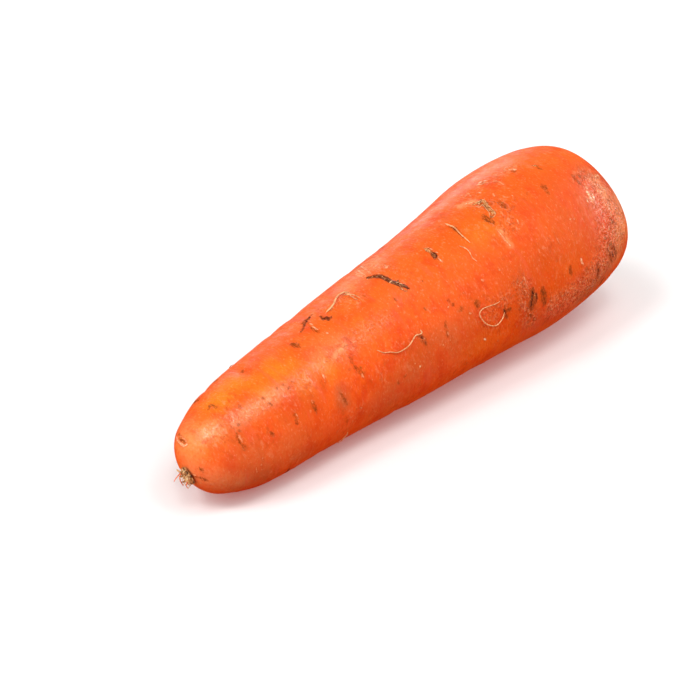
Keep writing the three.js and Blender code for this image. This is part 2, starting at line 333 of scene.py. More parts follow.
# ---------- the root's own form
@dataclass(frozen=True)
class RootForm:
    """The swollen taproot's sizes, in millimetres along its axis from the tail.

    Angles round the axis start at the top and turn towards -Y.
    """

    length: float = 174.5
    shoulder_radius: float = 28.0
    shoulder_station: float = 142.0
    rim_radius: float = 15.0
    mouth_radius: float = 13.5
    hollow_depth: float = 8.0
    gap: float = 0.3
    lie_tilt: float = math.radians(5.4)
    tail_height: float = 14.15
    bend_swing: float = 0.36
    bend_wave: float = 97.0
    bend_crest: float = 49.5
    bend_shift: float = -0.3
    lean: float = 2.0
    lean_angle: float = math.radians(128)
    lean_start: float = 140.0
    crown_lean_share: float = 0.8
    lump_count: int = 9
    lump_height: float = 0.035
    lump_wave: Span = (32.0, 90.0)
    crease_count: int = 54
    crease_margin: float = 14.0
    crease_half_width: float = 1.9
    crease_depth: Span = (0.15, 0.4)
    crease_half_length: Span = (4.0, 9.0)
    rim_wave_height: float = 0.5
    rim_wave_lobes: int = 3
    rim_wave_turn: float = 0.7
    rim_wave_start: float = 22.0
    rim_wave_reach: float = 6.0
    relief_fade: float = 12.0
    skin_seed: int = 5

    @property
    def floor(self) -> float:
        """The station of the crown hollow's floor."""
        return self.length - self.hollow_depth

    def outline(self) -> np.ndarray:
        """Return half of the root's section.

        Returns:
            Rows of station and radius, from the tail over the rim to the hollow's middle.
        """
        shoulder, rim, mouth = self.shoulder_station, self.rim_radius, self.mouth_radius
        return np.array([
            (0, 0), (1, 6), (4, 10.2), (9, 13), (16, 15.6), (26, 17.2), (40, 18.4), (60, 20.2),
            (80, 22.3), (100, 23.9), (120, 26.1), (shoulder - 9, 27.7),
            (shoulder, self.shoulder_radius), (shoulder + 11, 27.6), (shoulder + 20, 26.5),
            (shoulder + 26, 24.5), (shoulder + 30, 21.4), (self.length - 0.6, rim + 2.6),
            (self.length, rim), (self.length - 0.9, mouth), (self.length - 4, mouth - 1.8),
            (self.floor + 1.2, mouth - 3.2), (self.floor, mouth - 6.2), (self.floor, 0),
        ], dtype=float)

    def rings(self, count: int) -> np.ndarray:
        """Lay rings at even distances along the outline.

        Args:
            count: How many rings to lay.

        Returns:
            Rows of station, radius and the distance along the outline.
        """
        points = self.outline()
        padded = np.vstack([2 * points[0] - points[1], points, 2 * points[-1] - points[-2]])
        fine = []
        steps = np.linspace(0, 1, 60, endpoint=False)[:, None]
        for i in range(1, len(padded) - 2):
            a, b, c, d = padded[i - 1:i + 3]
            before, here, after = (
                np.linalg.norm(q - p) ** 0.5 for p, q in ((a, b), (b, c), (c, d))
            )
            leave = ((b - a) / before - (c - a) / (before + here) + (c - b) / here) * here
            reach = ((c - b) / here - (d - b) / (here + after) + (d - c) / after) * here
            fine.append(
                b + leave * steps + (3 * (c - b) - 2 * leave - reach) * steps ** 2
                + (2 * (b - c) + leave + reach) * steps ** 3
            )
        curve = np.vstack([*fine, points[-1:]])
        curve[:, 1] = np.maximum(curve[:, 1], 0)
        reached = walked(curve)
        along = np.linspace(0, reached[-1], count + 2)[1:-1]
        return np.stack([
            np.interp(along, reached, curve[:, 0]), np.interp(along, reached, curve[:, 1]), along
        ], axis=1)

    def relief(self, station: np.ndarray, angle: np.ndarray, radius: np.ndarray) -> np.ndarray:
        """Return how far the skin stands out from the plain outline.

        Args:
            station: Station of each point.
            angle: Angle of each point round the axis.
            radius: Plain radius at each point.

        Returns:
            The height of the swellings, creases and rim waves.
        """
        source = Seeded(self.skin_seed)
        height = np.zeros(np.broadcast(station, angle).shape)
        for i in range(self.lump_count):
            wave = source.between(*self.lump_wave)
            turn, shift = (2 * math.pi * source.next() for _ in range(2))
            along = np.cos(2 * math.pi * station / wave + shift)
            height += self.lump_height * np.cos((2 + i % 3) * angle + turn) * along
        for _ in range(self.crease_count):
            place = source.between(self.crease_margin, self.shoulder_station + self.crease_margin)
            middle = 2 * math.pi * source.next()
            depth = source.between(*self.crease_depth)
            half = source.between(*self.crease_half_length)
            height -= depth * crease_share(
                station, angle, radius, place, middle, self.crease_half_width, half
            )
        start = self.shoulder_station + self.rim_wave_start
        rim = np.clip((station - start) / self.rim_wave_reach, 0, 1)
        height += rim * self.rim_wave_height * np.cos(
            self.rim_wave_lobes * angle + self.rim_wave_turn
        )
        return np.minimum(radius / self.relief_fade, 1) * height

    def axis(self, station: np.ndarray | float) -> np.ndarray:
        """Return points of the axis, as it lies.

        Args:
            station: Their stations.

        Returns:
            Their places, before the whole carrot is centred.
        """
        bend = np.cos(2 * math.pi * (station - self.bend_crest) / self.bend_wave)
        return np.stack([
            station * math.cos(self.lie_tilt),
            self.bend_shift + self.bend_swing * bend,
            self.tail_height + station * math.sin(self.lie_tilt),
        ], axis=-1)

    def surface(self, station: np.ndarray, angle: np.ndarray, radius: np.ndarray) -> np.ndarray:
        """Return the places of points of the skin, flat where they touch the surface below.

        Args:
            station: Station of each point.
            angle: Angle of each point round the axis.
            radius: Distance of each point from the axis.

        Returns:
            The places, before the whole carrot is centred.
        """
        reach = np.clip((station - self.lean_start) / (self.length - self.lean_start), 0, 1)
        lean = self.lean * reach ** 2 * np.cos(angle - self.lean_angle)
        points = self.axis(station + lean * radius / self.shoulder_radius)
        points[..., 0] -= radius * np.cos(angle) * math.sin(self.lie_tilt)
        points[..., 1] -= radius * np.sin(angle)
        points[..., 2] += radius * np.cos(angle) * math.cos(self.lie_tilt)
        points[..., 2] = np.maximum(points[..., 2], 0)
        return points

    def organ_matrix(self, station: float, shift: np.ndarray) -> Matrix:
        """Return the place and lie of an organ at a station, once the carrot is moved by shift."""
        place = Vector(self.axis(station) + shift)
        return Matrix.Translation(place) @ Matrix.Rotation(-self.lie_tilt, 4, "Y")

    def crown_matrix(self, shift: np.ndarray) -> Matrix:
        """Return the place of the organs that stand on the hollow's floor, along +X.

        Args:
            shift: How far the whole carrot is moved to centre it.

        Returns:
            The matrix, in millimetres.
        """
        lean = self.crown_lean_share * self.lean / self.shoulder_radius
        across, upward = math.sin(self.lean_angle), -math.cos(self.lean_angle)
        outward = Vector((1, lean * across, lean * upward)).normalized()
        turn = Vector((1, 0, 0)).rotation_difference(outward).to_matrix().to_4x4()
        return self.organ_matrix(self.floor + self.gap, shift) @ turn


def crease_share(
    station: np.ndarray, angle: np.ndarray, radius: np.ndarray,
    place: float, middle: float, half_width: float, half_length: float,
) -> np.ndarray:
    """Return how deep points lie in a short crease that runs round the root, from 0 to 1.

    Args:
        station: Station of each point.
        angle: Angle of each point.
        radius: Radius at each point.
        place: The crease's station.
        middle: The angle of its middle.
        half_width: Half its width along the root.
        half_length: Half its length round the root.

    Returns:
        The share of the crease's full depth at each point.
    """
    along = (station - place) / half_width
    turn = np.arctan2(np.sin(angle - middle), np.cos(angle - middle))
    around = turn * radius / half_length
    inside = (np.abs(along) <= 3) & (np.abs(around) <= 1)
    return np.where(inside, np.exp(-along ** 2) * (1 - np.minimum(around ** 2, 1)) ** 2, 0.0)


# ---------- marks of the skin
class MarkKind(Enum):
    """What a mark on the skin is, which is also the name of its field."""

    SCAR = "scar"  # an open dry scar or a lenticel: dark edges, a grey-brown middle, sunk
    TAN = "tan"  # dry raised skin, pale tan
    STAIN = "stain"  # a brown stain with soft edges
    # A scuff also draws the end glints, which are painted highlights.
    SCUFF = "scuff"  # a thin pale scratch


class Tint(Enum):
    """A soft change of the skin over a wide patch, which is also its field's name."""

    YELLOW = "yellow"
    PINK = "pink"
    GREY = "grey"
    DEEP = "deep"
    PEACH = "peach"
    SHINE = "shine"
    SCRATCHED = "scratched"


@dataclass(frozen=True)
class Mark:
    """A mark on the skin, drawn along a route of image points."""

    kind: MarkKind
    half_width: float  # half its width in millimetres, at its widest
    route: Route  # image points that it passes


@dataclass(frozen=True)
class Blush:
    """A soft patch of another tint."""

    tint: Tint
    reach: float  # distance in millimetres at which it has faded out
    strength: float  # its strength along the route, from 0 to 1
    route: Route  # image points that it passes


@dataclass(frozen=True)
class Rootlet:
    """A hair-thin side root that lies on the skin."""

    radius: float  # its radius in millimetres at the foot
    lift: float  # how far its middle stands off the skin, in millimetres
    route: Route  # image points that it passes, from its foot


SCAR, TAN, STAIN, SCUFF = MarkKind.SCAR, MarkKind.TAN, MarkKind.STAIN, MarkKind.SCUFF


def named(make: Callable[..., Any], *shared: Any, **rows: tuple[Any, ...]) -> dict[str, Any]:
    """Make things that follow routes on the skin.

    Args:
        make: Their class.
        *shared: What they share, such as their kind.
        **rows: For each name its sizes, and then the image points of its route.

    Returns:
        The things by name.
    """
    made = {}
    for name, row in rows.items():
        sizes = [part for part in row if not isinstance(part, tuple)]
        made[name] = make(*shared, *sizes, row[len(sizes):])
    return made


SCARS = named(
    Mark, SCAR,
    gash=(
        0.62, (367.6, 278), (374, 276.5), (379.5, 275.9), (384, 278), (390, 281), (396, 283.5),
        (404, 286), (409, 288.6),
    ),
    round_lenticel=(0.78, (432.8, 253), (434.2, 255.2), (434.8, 257.4)),
    rootlet_socket=(0.35, (454, 228.5), (456, 230)),
    left_socket=(0.34, (320.5, 316), (323, 319.4), (326, 317.4)),
    left_socket_right=(0.32, (326, 317), (328, 320), (331.5, 316.5)),
    cut=(0.3, (301.6, 332), (303.6, 326), (306.6, 321), (311.6, 315)),
    cut_core=(0.3, (304.6, 320.4), (308.4, 318.6)),
    wisp_foot_hole=(0.26, (420.5, 336.4), (422.4, 338.4)),
    wisp_foot_spot=(0.22, (424.6, 342), (425.6, 343.4)),
    loop_socket=(0.3, (503.8, 309), (505.6, 313)),
    big_lenticel=(0.38, (533, 290.5), (532.2, 298), (531, 307.5)),
    big_lenticel_side=(0.24, (536, 293), (536.8, 299), (535, 304)),
    end_cluster_hole=(0.3, (612, 252), (613.6, 257)),
)

DRY_SKIN = named(
    Mark, TAN,
    gash_end_crumb=(0.42, (401.4, 288.4), (405.4, 290.6)),
    round_lenticel_flap=(0.42, (425, 248), (428, 250.4), (430.6, 252.6)),
    crest_scab=(0.4, (533, 165.4), (537.5, 166.4)),
    wisp_lip=(
        0.56, (474, 204), (480, 202), (484, 201), (487, 206), (491, 210), (494, 213.4),
        (490.6, 217),
    ),
    end_tan_dots=(0.24, (605, 238.4), (606, 239)),
    end_tan_dots_low=(0.24, (610.4, 243), (611.6, 243.8)),
    lenticel_curl=(0.3, (534.4, 291.6), (534.6, 296), (533.8, 301)),
    lenticel_curl_low=(0.26, (530.2, 299), (532.4, 304.4)),
)

STAINS = named(
    Mark, STAIN,
    round_halo=(0.7, (430.6, 251), (434, 255), (437, 259)),
    upper_rootlet_shade=(0.34, (451, 226.6), (456, 229.6), (463, 237.4)),
    cut_cross=(0.34, (301.4, 324), (305.4, 322), (309, 323.6)),
    cut_side_crack=(0.42, (311, 326.5), (315, 330.5), (319.5, 332)),
    left_brown_spot=(0.8, (292, 343.6), (296, 345.4), (299, 346.6)),
    left_brown_spot_core=(0.8, (293, 344.2), (297.4, 346.2)),
    wisp_foot_curl=(0.8, (420.4, 336.8), (423, 339), (425.6, 343.4)),
    tail_streak=(0.4, (312.4, 402.5), (314.5, 408), (316.7, 412)),
    cluster=(0.34, (355, 366.6), (356.4, 369)),
    cluster_right=(0.3, (361.4, 367), (360.6, 370)),
    cluster_hole=(0.36, (357, 371.4), (360.6, 373.4)),
    cluster_low_hole=(0.28, (363.4, 371.6), (364.4, 373)),
    cluster_trail=(0.14, (350, 357), (353, 363)),
    lilac_streak=(0.18, (340, 392), (343.6, 398), (346.6, 404)),
    ridge_pit_a=(0.17, (277.4, 388.4), (278.2, 389.4)),
    ridge_pit_b=(0.15, (283, 384), (283.6, 385.4)),
    ridge_pit_c=(0.18, (288.6, 387.4), (289.4, 388.6)),
    ridge_pit_d=(0.15, (291.6, 380.4), (292.4, 381.4)),
    ridge_pit_e=(0.2, (269.4, 403), (271.4, 404.6)),
    ridge_pit_f=(0.16, (262.6, 398), (263.4, 399)),
    tail_top_dot=(0.45, (241.2, 371), (242.6, 372)),
    curved_line=(0.34, (208.4, 409.2), (210.4, 405.6), (213, 405), (215.6, 408.4)),
    tail_side_dot=(0.36, (238.2, 406.2), (240.4, 407.6)),
    tail_low_dot=(0.5, (271, 433.4), (272.4, 435.6)),
    tail_end_dot=(0.55, (200.8, 469), (202, 470.6)),
    tan_streak=(0.2, (294.4, 412), (296, 418), (297.2, 424)),
    tail_slit=(0.3, (236.6, 433.6), (238.2, 438), (240.6, 442.6)),
    tail_slit_shade=(0.26, (242, 444), (244.5, 448.5)),
    tail_slit_dot=(0.3, (238.4, 423.6), (238.8, 425)),
    tail_slit_dot_low=(0.26, (239, 429.6), (239.4, 430.6)),
    tip_scar_olive=(0.8, (179.8, 438.6), (182.4, 441), (185, 442.8)),
    tip_scar_top=(0.24, (178.4, 434.6), (181.6, 436.2)),
    tail_brown_line=(0.26, (191.5, 476.4), (197.5, 477), (202, 478.4), (207, 480)),
    tail_brown_line_end=(0.45, (200.6, 478.4), (205.4, 480)),
    middle_red_speck=(0.42, (395, 298.5), (396.2, 300)),
    faint_speck=(0.2, (421.6, 280.6), (422.4, 281.4)),
    side_speck_a=(0.28, (424.6, 308), (425.4, 309)),
    side_speck_b=(0.3, (452.5, 304.6), (453.6, 305.6)),
    side_speck_c=(0.26, (447.8, 299.6), (448.4, 300.6)),
    side_squiggle=(0.24, (458.6, 310.4), (461, 309.4), (463, 307.6)),
    olive_smudge=(0.85, (477, 302), (477.6, 306.5)),
    belly_dark_dot=(0.32, (398.6, 382.2), (399.4, 383)),
    belly_dark_dot_up=(0.26, (404.6, 375.7), (405.4, 376.3)),
    low_crack=(0.26, (445.4, 322), (446.6, 329), (448, 335.6)),
    low_crack_core=(0.36, (447, 333), (448, 336.4)),
    loop_socket_right=(0.34, (504, 312), (510.6, 309)),
    loop_socket_up=(0.3, (506.4, 304), (505.4, 310)),
    loop_socket_tail=(0.42, (505.4, 312), (507, 318)),
    crest_curl_shade=(0.34, (512, 171.4), (516, 171.6)),
    crest_scab_shade=(0.2, (536.5, 167), (541, 169.2)),
    crest_scuff_shade=(0.14, (480.6, 183.4), (484.6, 182.6)),
    shoulder_spot=(0.8, (543, 185.4), (545.4, 188.6)),
    shoulder_spot_low=(0.3, (546.4, 190.4), (548.4, 193)),
    shoulder_lenticel=(0.5, (572.6, 175.6), (576, 179.6), (580.4, 183.8)),
    shoulder_twin=(0.34, (577, 174.4), (581, 177.4)),
    shoulder_brown_dot=(0.4, (597, 177.4), (598.2, 178.8)),
    wisp_middle=(0.4, (478, 204.4), (483, 204), (487, 208.6), (491.4, 212.6)),
    wisp_under_smudge=(1.0, (483, 216.6), (487, 219), (493, 223)),
    wisp_under_core=(0.6, (483.4, 216.8), (487, 219.4), (491, 222)),
    wisp_side_smudge=(0.6, (498, 201), (501, 204), (505.6, 207.4)),
    wisp_side_core=(0.4, (499, 202), (505.4, 206.6)),
    big_lenticel_shade=(1.2, (532, 290), (532.8, 298), (531.4, 309)),
    second_lenticel=(1.1, (543, 289), (544, 296), (544.6, 303.6)),
    second_lenticel_core=(1.0, (543.4, 291), (544, 297), (545, 303)),
    low_dark_dot=(0.42, (534, 318.2), (534.8, 320)),
    end_brown_streak=(0.5, (570, 266), (571.5, 275)),
    end_dark_streak=(0.6, (598, 263.5), (598.4, 270), (598, 277.5)),
    end_cluster=(0.45, (607, 249), (610, 254), (612, 262)),
    end_cluster_right=(0.5, (613, 246), (616, 252), (615.4, 259)),
    end_cluster_top=(0.3, (608, 243), (612, 245)),
    end_brown_dot=(0.42, (612.6, 220.4), (613.4, 221.8)),
    end_dots=(0.22, (611, 219), (611.8, 220)),
    end_dots_low=(0.22, (614.4, 226), (615, 227)),
    end_speckle=(0.3, (609.6, 247), (612, 250)),
    end_brown_low=(0.5, (600, 284), (603, 279)),
    side_dots=(0.36, (529, 305), (531, 308)),
    low_dots=(0.3, (530, 314.6), (532, 316.4)),
)

SCUFFS = named(
    Mark, SCUFF,
    gash_upper_curl=(0.3, (354, 268), (360, 272), (366, 276)),
    gash_upper_scratch=(0.28, (358, 264.5), (366, 269.5), (372, 274.5)),
    gash_upper_loop=(0.26, (355, 271.6), (359.6, 276.6), (363.4, 276)),
    gash_left_scratch=(0.22, (355, 275), (364, 277.5)),
    gash_notch=(0.24, (384.5, 264.8), (386.5, 268), (388.7, 265)),
    round_lenticel_top=(0.26, (427, 247.4), (432, 249.4), (436, 252)),
    round_lenticel_foot=(0.24, (437.6, 256.5), (440, 259.5), (442, 262)),
    pink_scratch=(0.26, (498.5, 231), (504, 239), (510.5, 246)),
    cut_side_crumbs=(0.24, (310, 323), (314, 327.4), (318, 330)),
    cut_pale_dot=(0.35, (326, 333), (328, 333.2)),
    wisp_foot_line=(0.14, (420.6, 339.6), (424.6, 337.8)),
    wisp_foot_line_low=(0.14, (422.6, 342.4), (426.6, 340.4)),
    tail_streak_top=(0.18, (311.2, 399), (312.4, 403)),
    cluster_flap=(0.2, (361.4, 374), (363.6, 378)),
    tan_bumps=(0.36, (322.6, 374.4), (324.4, 378)),
    tan_bumps_low=(0.3, (324.4, 379.5), (325.4, 381.6)),
    curved_glint=(0.16, (210.6, 408.4), (213, 407)),
    tail_side_pale=(0.16, (236.5, 409), (238.5, 410.4)),
    belly_dot=(0.36, (360.6, 407.6), (361.4, 408.4)),
    tan_streak_pale=(0.18, (296.4, 414), (297.6, 419)),
    tail_slit_core=(0.36, (239, 435), (240.8, 438.4), (242.8, 442)),
    white_streak=(0.2, (256.4, 467.4), (257.4, 473)),
    white_streak_low=(0.15, (261.4, 463), (262.5, 468.6)),
    white_streak_top=(0.14, (262.7, 457.6), (263, 461.8)),
    tip_scar_lip=(
        0.46, (176.8, 436.6), (177.8, 440.4), (180.6, 443.8), (184.4, 445.8), (187, 444.6),
    ),
    tip_scar_upper_lip=(0.24, (180.6, 436), (183.6, 438.4), (186.6, 441)),
    tail_pad_crest=(0.16, (192, 474.6), (197, 475.4)),
    pale_speck=(0.28, (397.6, 305.6), (398.4, 306.4)),
    side_pale_a=(0.26, (447.6, 307), (449, 307.6)),
    side_pale_b=(0.2, (468, 313.4), (472.4, 313)),
    side_pale_c=(0.24, (463.4, 292.4), (464.2, 293.6)),
    side_pale_d=(0.24, (481.6, 279.4), (483.4, 281.4)),
    side_pale_e=(0.26, (498.4, 269.6), (499.6, 270.6)),
    low_pale_blob=(0.36, (483.6, 338.4), (485.8, 340)),
    low_pale_blob_right=(0.26, (497.4, 340.2), (499, 341)),
    bright_fleck=(0.42, (419.6, 366), (420.4, 367)),
    bright_fleck_small=(0.28, (414.4, 363.2), (415, 363.8)),
    low_crack_pale=(0.22, (447.6, 331), (449.6, 336), (451, 341.5)),
    low_crack_dots=(0.3, (442.6, 344.6), (443.6, 345.2)),
    loop_far_line=(0.13, (499.5, 301), (505, 297.4), (511.3, 294)),
    crest_hook=(0.24, (512, 166.4), (507, 167), (504.4, 167.8), (504.2, 170.6), (505, 172.4)),
    crest_hook_low=(0.22, (507, 170.2), (511.4, 169.4)),
    crest_tan_dot=(0.24, (514.4, 166.6), (516.4, 167.4)),
    crest_tan_curl=(0.22, (512.6, 169.4), (515, 170.4), (517, 168.6)),
    crest_scuff=(0.34, (477, 185.6), (480, 182.4), (484, 181), (487.4, 180.4)),
    crest_scuff_low=(0.28, (479, 184), (482.4, 184.4), (485, 182.6), (489, 183)),
    crest_curve=(0.2, (497.6, 181.4), (501, 182.4), (504.6, 185.6)),
    crest_soft_line=(0.22, (492, 181.4), (497, 180.8)),
    edge_curls=(0.3, (465, 196.8), (467, 193), (470, 194.6), (471, 197)),
    edge_curls_low=(0.25, (468, 199), (471.6, 198.4)),
    edge_curls_right=(0.26, (475.6, 193.6), (479, 192.4), (481, 193.6)),
    pale_knot=(0.34, (493, 193.6), (494.4, 196.4)),
    pale_knot_right=(0.26, (511.4, 195), (512.6, 196.4)),
    pale_knot_low=(0.22, (507.6, 208), (511, 211)),
    shoulder_pale_dot=(0.3, (594.2, 176.2), (595.2, 176.9)),
    wisp_left_fold=(0.3, (461.4, 206.4), (465, 204), (470, 202.8), (473.6, 202.8)),
    wisp_under_pale=(0.22, (490, 223.4), (495, 226.6)),
    wisp_right_pale=(0.24, (516.6, 219), (518.6, 222.4), (518, 225)),
    wisp_low_pale=(0.18, (506.6, 221), (509.4, 222.4)),
    thin_pale_line=(0.16, (524, 276), (526.6, 289)),
    end_pale_mark=(0.46, (581, 258), (581.4, 261.4), (583.4, 265)),
    end_faint_line=(0.13, (554.7, 235), (560.3, 245)),
    end_faint_line_up=(0.13, (569, 219), (576, 219.4)),
    end_tan_dot=(0.26, (579.6, 281), (580.2, 283.6)),
    # Painted highlights: the end glints are pale strokes where the shoulder catches the light.
    end_glint=(0.4, (585.6, 186), (587.2, 190), (586.6, 194)),
    end_glint_middle=(0.52, (588.4, 193.4), (590.4, 197.4), (592.6, 202.4)),
    end_glint_low=(0.34, (586.6, 198.6), (588.4, 202.6)),
    end_glint_fold=(0.44, (591, 192), (593.2, 196), (593.8, 200)),
    end_glint_top=(0.18, (583.6, 183), (587, 185.4)),
    end_fold=(0.38, (595, 178.6), (595.6, 175.6), (598, 175), (599.6, 177.8)),
    end_tan_curl=(0.15, (604, 249), (606.6, 251.6), (609, 255)),
    end_tan_curl_low=(0.15, (610, 256.4), (613, 259), (615, 257)),
    lenticel_pale_dot=(0.34, (534.6, 318.6), (535.4, 319.6)),
    left_curl=(0.2, (521, 300), (522.4, 304.6), (521, 308.6)),
    left_curl_low=(0.18, (523, 309), (526, 311.6)),
    low_glint=(0.26, (579.4, 281), (580, 283)),
)

MARKS: dict[str, Mark] = SCARS | DRY_SKIN | STAINS | SCUFFS

# Two routes that several tints share.
SHOULDER_EDGE: Route = ((606, 178), (619, 200), (623, 226), (617, 250))
LOW_EDGE: Route = ((616, 252), (608, 268), (596, 283), (580, 298))

YELLOWED = named(
    Blush, Tint.YELLOW,
    tail_top=(10, 0.6, (214, 402), (232, 388)),
    tail_ridge=(10, 0.55, (258, 386), (281, 370)),
    ridge_foot=(7, 0.5, (304, 386), (326, 370)),
    wisp=(11, 0.35, (470, 222), (488, 232)),
    tip=(9, 0.6, (190, 444), (214, 434)),
)

PINK_SKIN_AND_SHEEN = named(
    Blush, Tint.PINK,
    # Painted sheen: pink over the shoulder where it catches a pale reflection.
    shoulder=(17, 0.9, (588, 190), (604, 215), (612, 236)),
    belly=(9, 0.35, (246, 470), (298, 446), (372, 408), (450, 366)),
    # Painted sheen along the shoulder's lower and right edges, in the next three patches.
    low_shoulder=(12, 0.8, (540, 322), (592, 284), (606, 262)),
    low_edge=(8, 1.1, *LOW_EDGE),
    edge=(9, 0.85, (608, 186), (619, 204), (621, 230), (615, 252)),
)

GREY_SKIN_AND_SHEEN = named(
    Blush, Tint.GREY,
    tail_foot=(10, 0.9, (202, 484), (232, 488), (262, 478)),
    belly_olive=(5, 0.6, (296, 458), (309, 452)),
    lilac_patch=(4.5, 0.9, (342, 391), (344, 403)),
    belly=(13, 0.6, (388, 396), (424, 356), (462, 334)),
    lenticel_brown=(7, 0.45, (528, 286), (530, 314)),
    slit=(3.5, 0.5, (256, 444), (259, 456), (261, 472)),
    # Grey mixed into the painted sheen along the shoulder's edges, in the next two patches.
    edge=(9, 0.2, *SHOULDER_EDGE),
    low_edge=(7, 0.35, *LOW_EDGE),
    shoulder_side=(8, 0.45, (586, 204), (590, 220), (592, 240)),
)

REDDENED_AND_SHADED = named(
    Blush, Tint.DEEP,
    # Painted shade: the shoulder and its lower side darker, in the next two patches.
    shoulder=(24, 0.9, (556, 200), (566, 240), (520, 282)),
    shoulder_low=(14, 0.7, (480, 320), (540, 290), (570, 262)),
    middle=(10, 0.8, (442, 232), (466, 218)),
    tail=(9, 0.8, (288, 414), (312, 400)),
    upper=(6, 0.5, (262, 352), (280, 338)),
    # Painted shade: the tail's underside darker, in the next two patches.
    tail_brown=(12, 0.62, (256, 440), (266, 462), (300, 436)),
    slit=(9, 0.95, (238, 436), (242, 464)),
    loop=(9, 0.7, (476, 296), (486, 312)),
    wisp_foot=(8, 0.7, (412, 352), (426, 346)),
    shoulder_brown=(7, 0.8, (536, 178), (560, 178), (582, 172)),
)

PALE_SKIN_AND_HIGHLIGHTS = named(
    Blush, Tint.PEACH,
    wisp_left=(2.0, 0.9, (461.4, 206), (465, 203.4), (473, 202)),
    upper_pink_band=(1.7, 0.7, (500, 231), (505.6, 239), (511, 246)),
    # Painted highlights: the tail's end and the spot beside it, lightened where the light falls.
    tip=(10, 0.45, (182, 436), (186, 454), (192, 470)),
    tip_peach_right=(5, 0.6, (203, 434), (212, 430)),
    tail_foot=(8, 0.4, (204, 478), (236, 482)),
    soft_streak=(1.5, 0.9, (334, 358), (337.4, 351.6), (346, 344.6)),
    middle=(8, 0.25, (320, 354), (338, 344)),
    upper=(7, 0.35, (352, 284), (372, 264)),
    # Painted sheen along the shoulder's right edge, in the next two patches.
    edge=(10, 0.6, *SHOULDER_EDGE),
    edge_pale=(5, 0.6, (596, 182), (605, 192), (611, 206)),
    # Painted highlight: a pale band along the tail's ridge.
    ridge_pale=(4.2, 0.42, (238, 421), (250, 411), (266, 400), (280, 390)),
    lower_tail=(12, 0.12, (232, 458), (262, 464), (292, 446)),
    # Painted sheen along the shoulder's lower and right edges, in the next three patches.
    low_shoulder_pale=(9, 0.2, (572, 294), (598, 272)),
    end_cluster_pale=(7, 0.7, (620, 228), (618, 244)),
    low_edge=(8, 0.35, *LOW_EDGE),
)

GLOSSY = named(
    Blush, Tint.SHINE,
    tip=(6, 1.0, (200, 438), (216, 430)),
    ridge=(5.5, 1.1, (234, 420), (262, 402), (300, 380), (318, 366)),
    ridge_shine_far=(6, 0.6, (334, 352), (360, 336), (384, 318)),
    shoulder=(9, 1.3, (592, 184), (604, 206), (614, 236)),
    shoulder_low=(9, 1.0, (612, 246), (604, 270), (588, 290)),
    rim=(6, 0.28, (404, 232), (440, 204), (470, 182), (506, 162)),
    middle=(8, 0.6, (390, 292), (404, 276)),
    edge=(9, 1.0, (608, 190), (618, 212), (620, 236)),
)

WORN = named(
    Blush, Tint.SCRATCHED,
    lenticel=(6, 1.0, (521, 284), (527, 302), (530, 324)),
    shoulder=(11, 1.1, (594, 180), (610, 208), (610, 258)),
    edge=(9, 0.75, *SHOULDER_EDGE),
    crest=(5, 0.7, (466, 196), (484, 182), (516, 167)),
    wisp=(7, 0.8, (480, 205), (502, 206), (508, 224)),
    gash=(4.5, 0.9, (356, 270), (372, 266), (388, 268)),
    rootlet=(5, 0.8, (330, 308), (346, 296), (360, 297)),
    ridge=(7, 0.4, (216, 420), (244, 414), (300, 380)),
    middle=(6, 0.5, (326, 360), (350, 342), (384, 318)),
    loop=(7, 0.6, (484, 316), (498, 306), (508, 298)),
    low=(10, 1.5, (556, 306), (576, 294), (600, 268)),
)

TINTED = (YELLOWED, PINK_SKIN_AND_SHEEN, GREY_SKIN_AND_SHEEN, REDDENED_AND_SHADED, PALE_SKIN_AND_HIGHLIGHTS, GLOSSY, WORN)
BLUSHES: tuple[Blush, ...] = tuple(patch for group in TINTED for patch in group.values())

ROOTLETS: dict[str, Rootlet] = named(
    Rootlet,
    upper_rootlet=(
        0.27, 0.25, (445, 224), (450, 226.2), (453.7, 228), (457, 231), (461, 235), (470, 243),
    ),
    upper_rootlet_far=(0.18, 0.2, (459, 246), (466, 249), (469.5, 253), (472, 258), (477, 261.5)),
    left_rootlet=(
        0.29, 0.35, (326, 313), (330.5, 309), (334, 305), (336, 300.5), (338, 297.5),
        (341.5, 294.6), (346.5, 292.6), (350, 293.4),
    ),
    left_rootlet_fold=(0.16, 0.2, (344, 295), (349, 295.4), (353, 298), (358, 300)),
    left_rootlet_twist=(0.17, 0.2, (343, 291.4), (348, 294.6), (354, 295.4), (360, 298)),
    long_wisp=(
        0.22, 0.4, (420, 330), (421.6, 332.6), (419.4, 334.4), (415, 335.5), (412, 340),
        (408, 345.6), (403, 349.5), (396.5, 352.6), (390, 352), (383.5, 352.6), (376.5, 350),
    ),
    loop=(
        0.2, 0.35, (504.2, 312.3), (502.6, 317.4), (500, 321.3), (496.8, 324.4), (492.5, 325.6),
        (486.6, 324.2), (482.5, 321), (479.6, 316.8), (479, 312.5), (482.4, 308.6), (488, 306.3),
        (494.2, 304.4), (499.5, 301.5),
    ),
    upper_wisp=(
        0.13, 0.2, (475.4, 203), (479.6, 201.4), (484.2, 200.2), (486.8, 204.6), (491, 208.6),
        (494.4, 212), (495, 215.4), (492, 218),
    ),
    upper_wisp_fold=(
        0.11, 0.15, (475.6, 206), (479, 207.6), (482.6, 205.4), (485.6, 208.6), (489, 213),
        (489.6, 216.4), (491.6, 217.8),
    ),
)


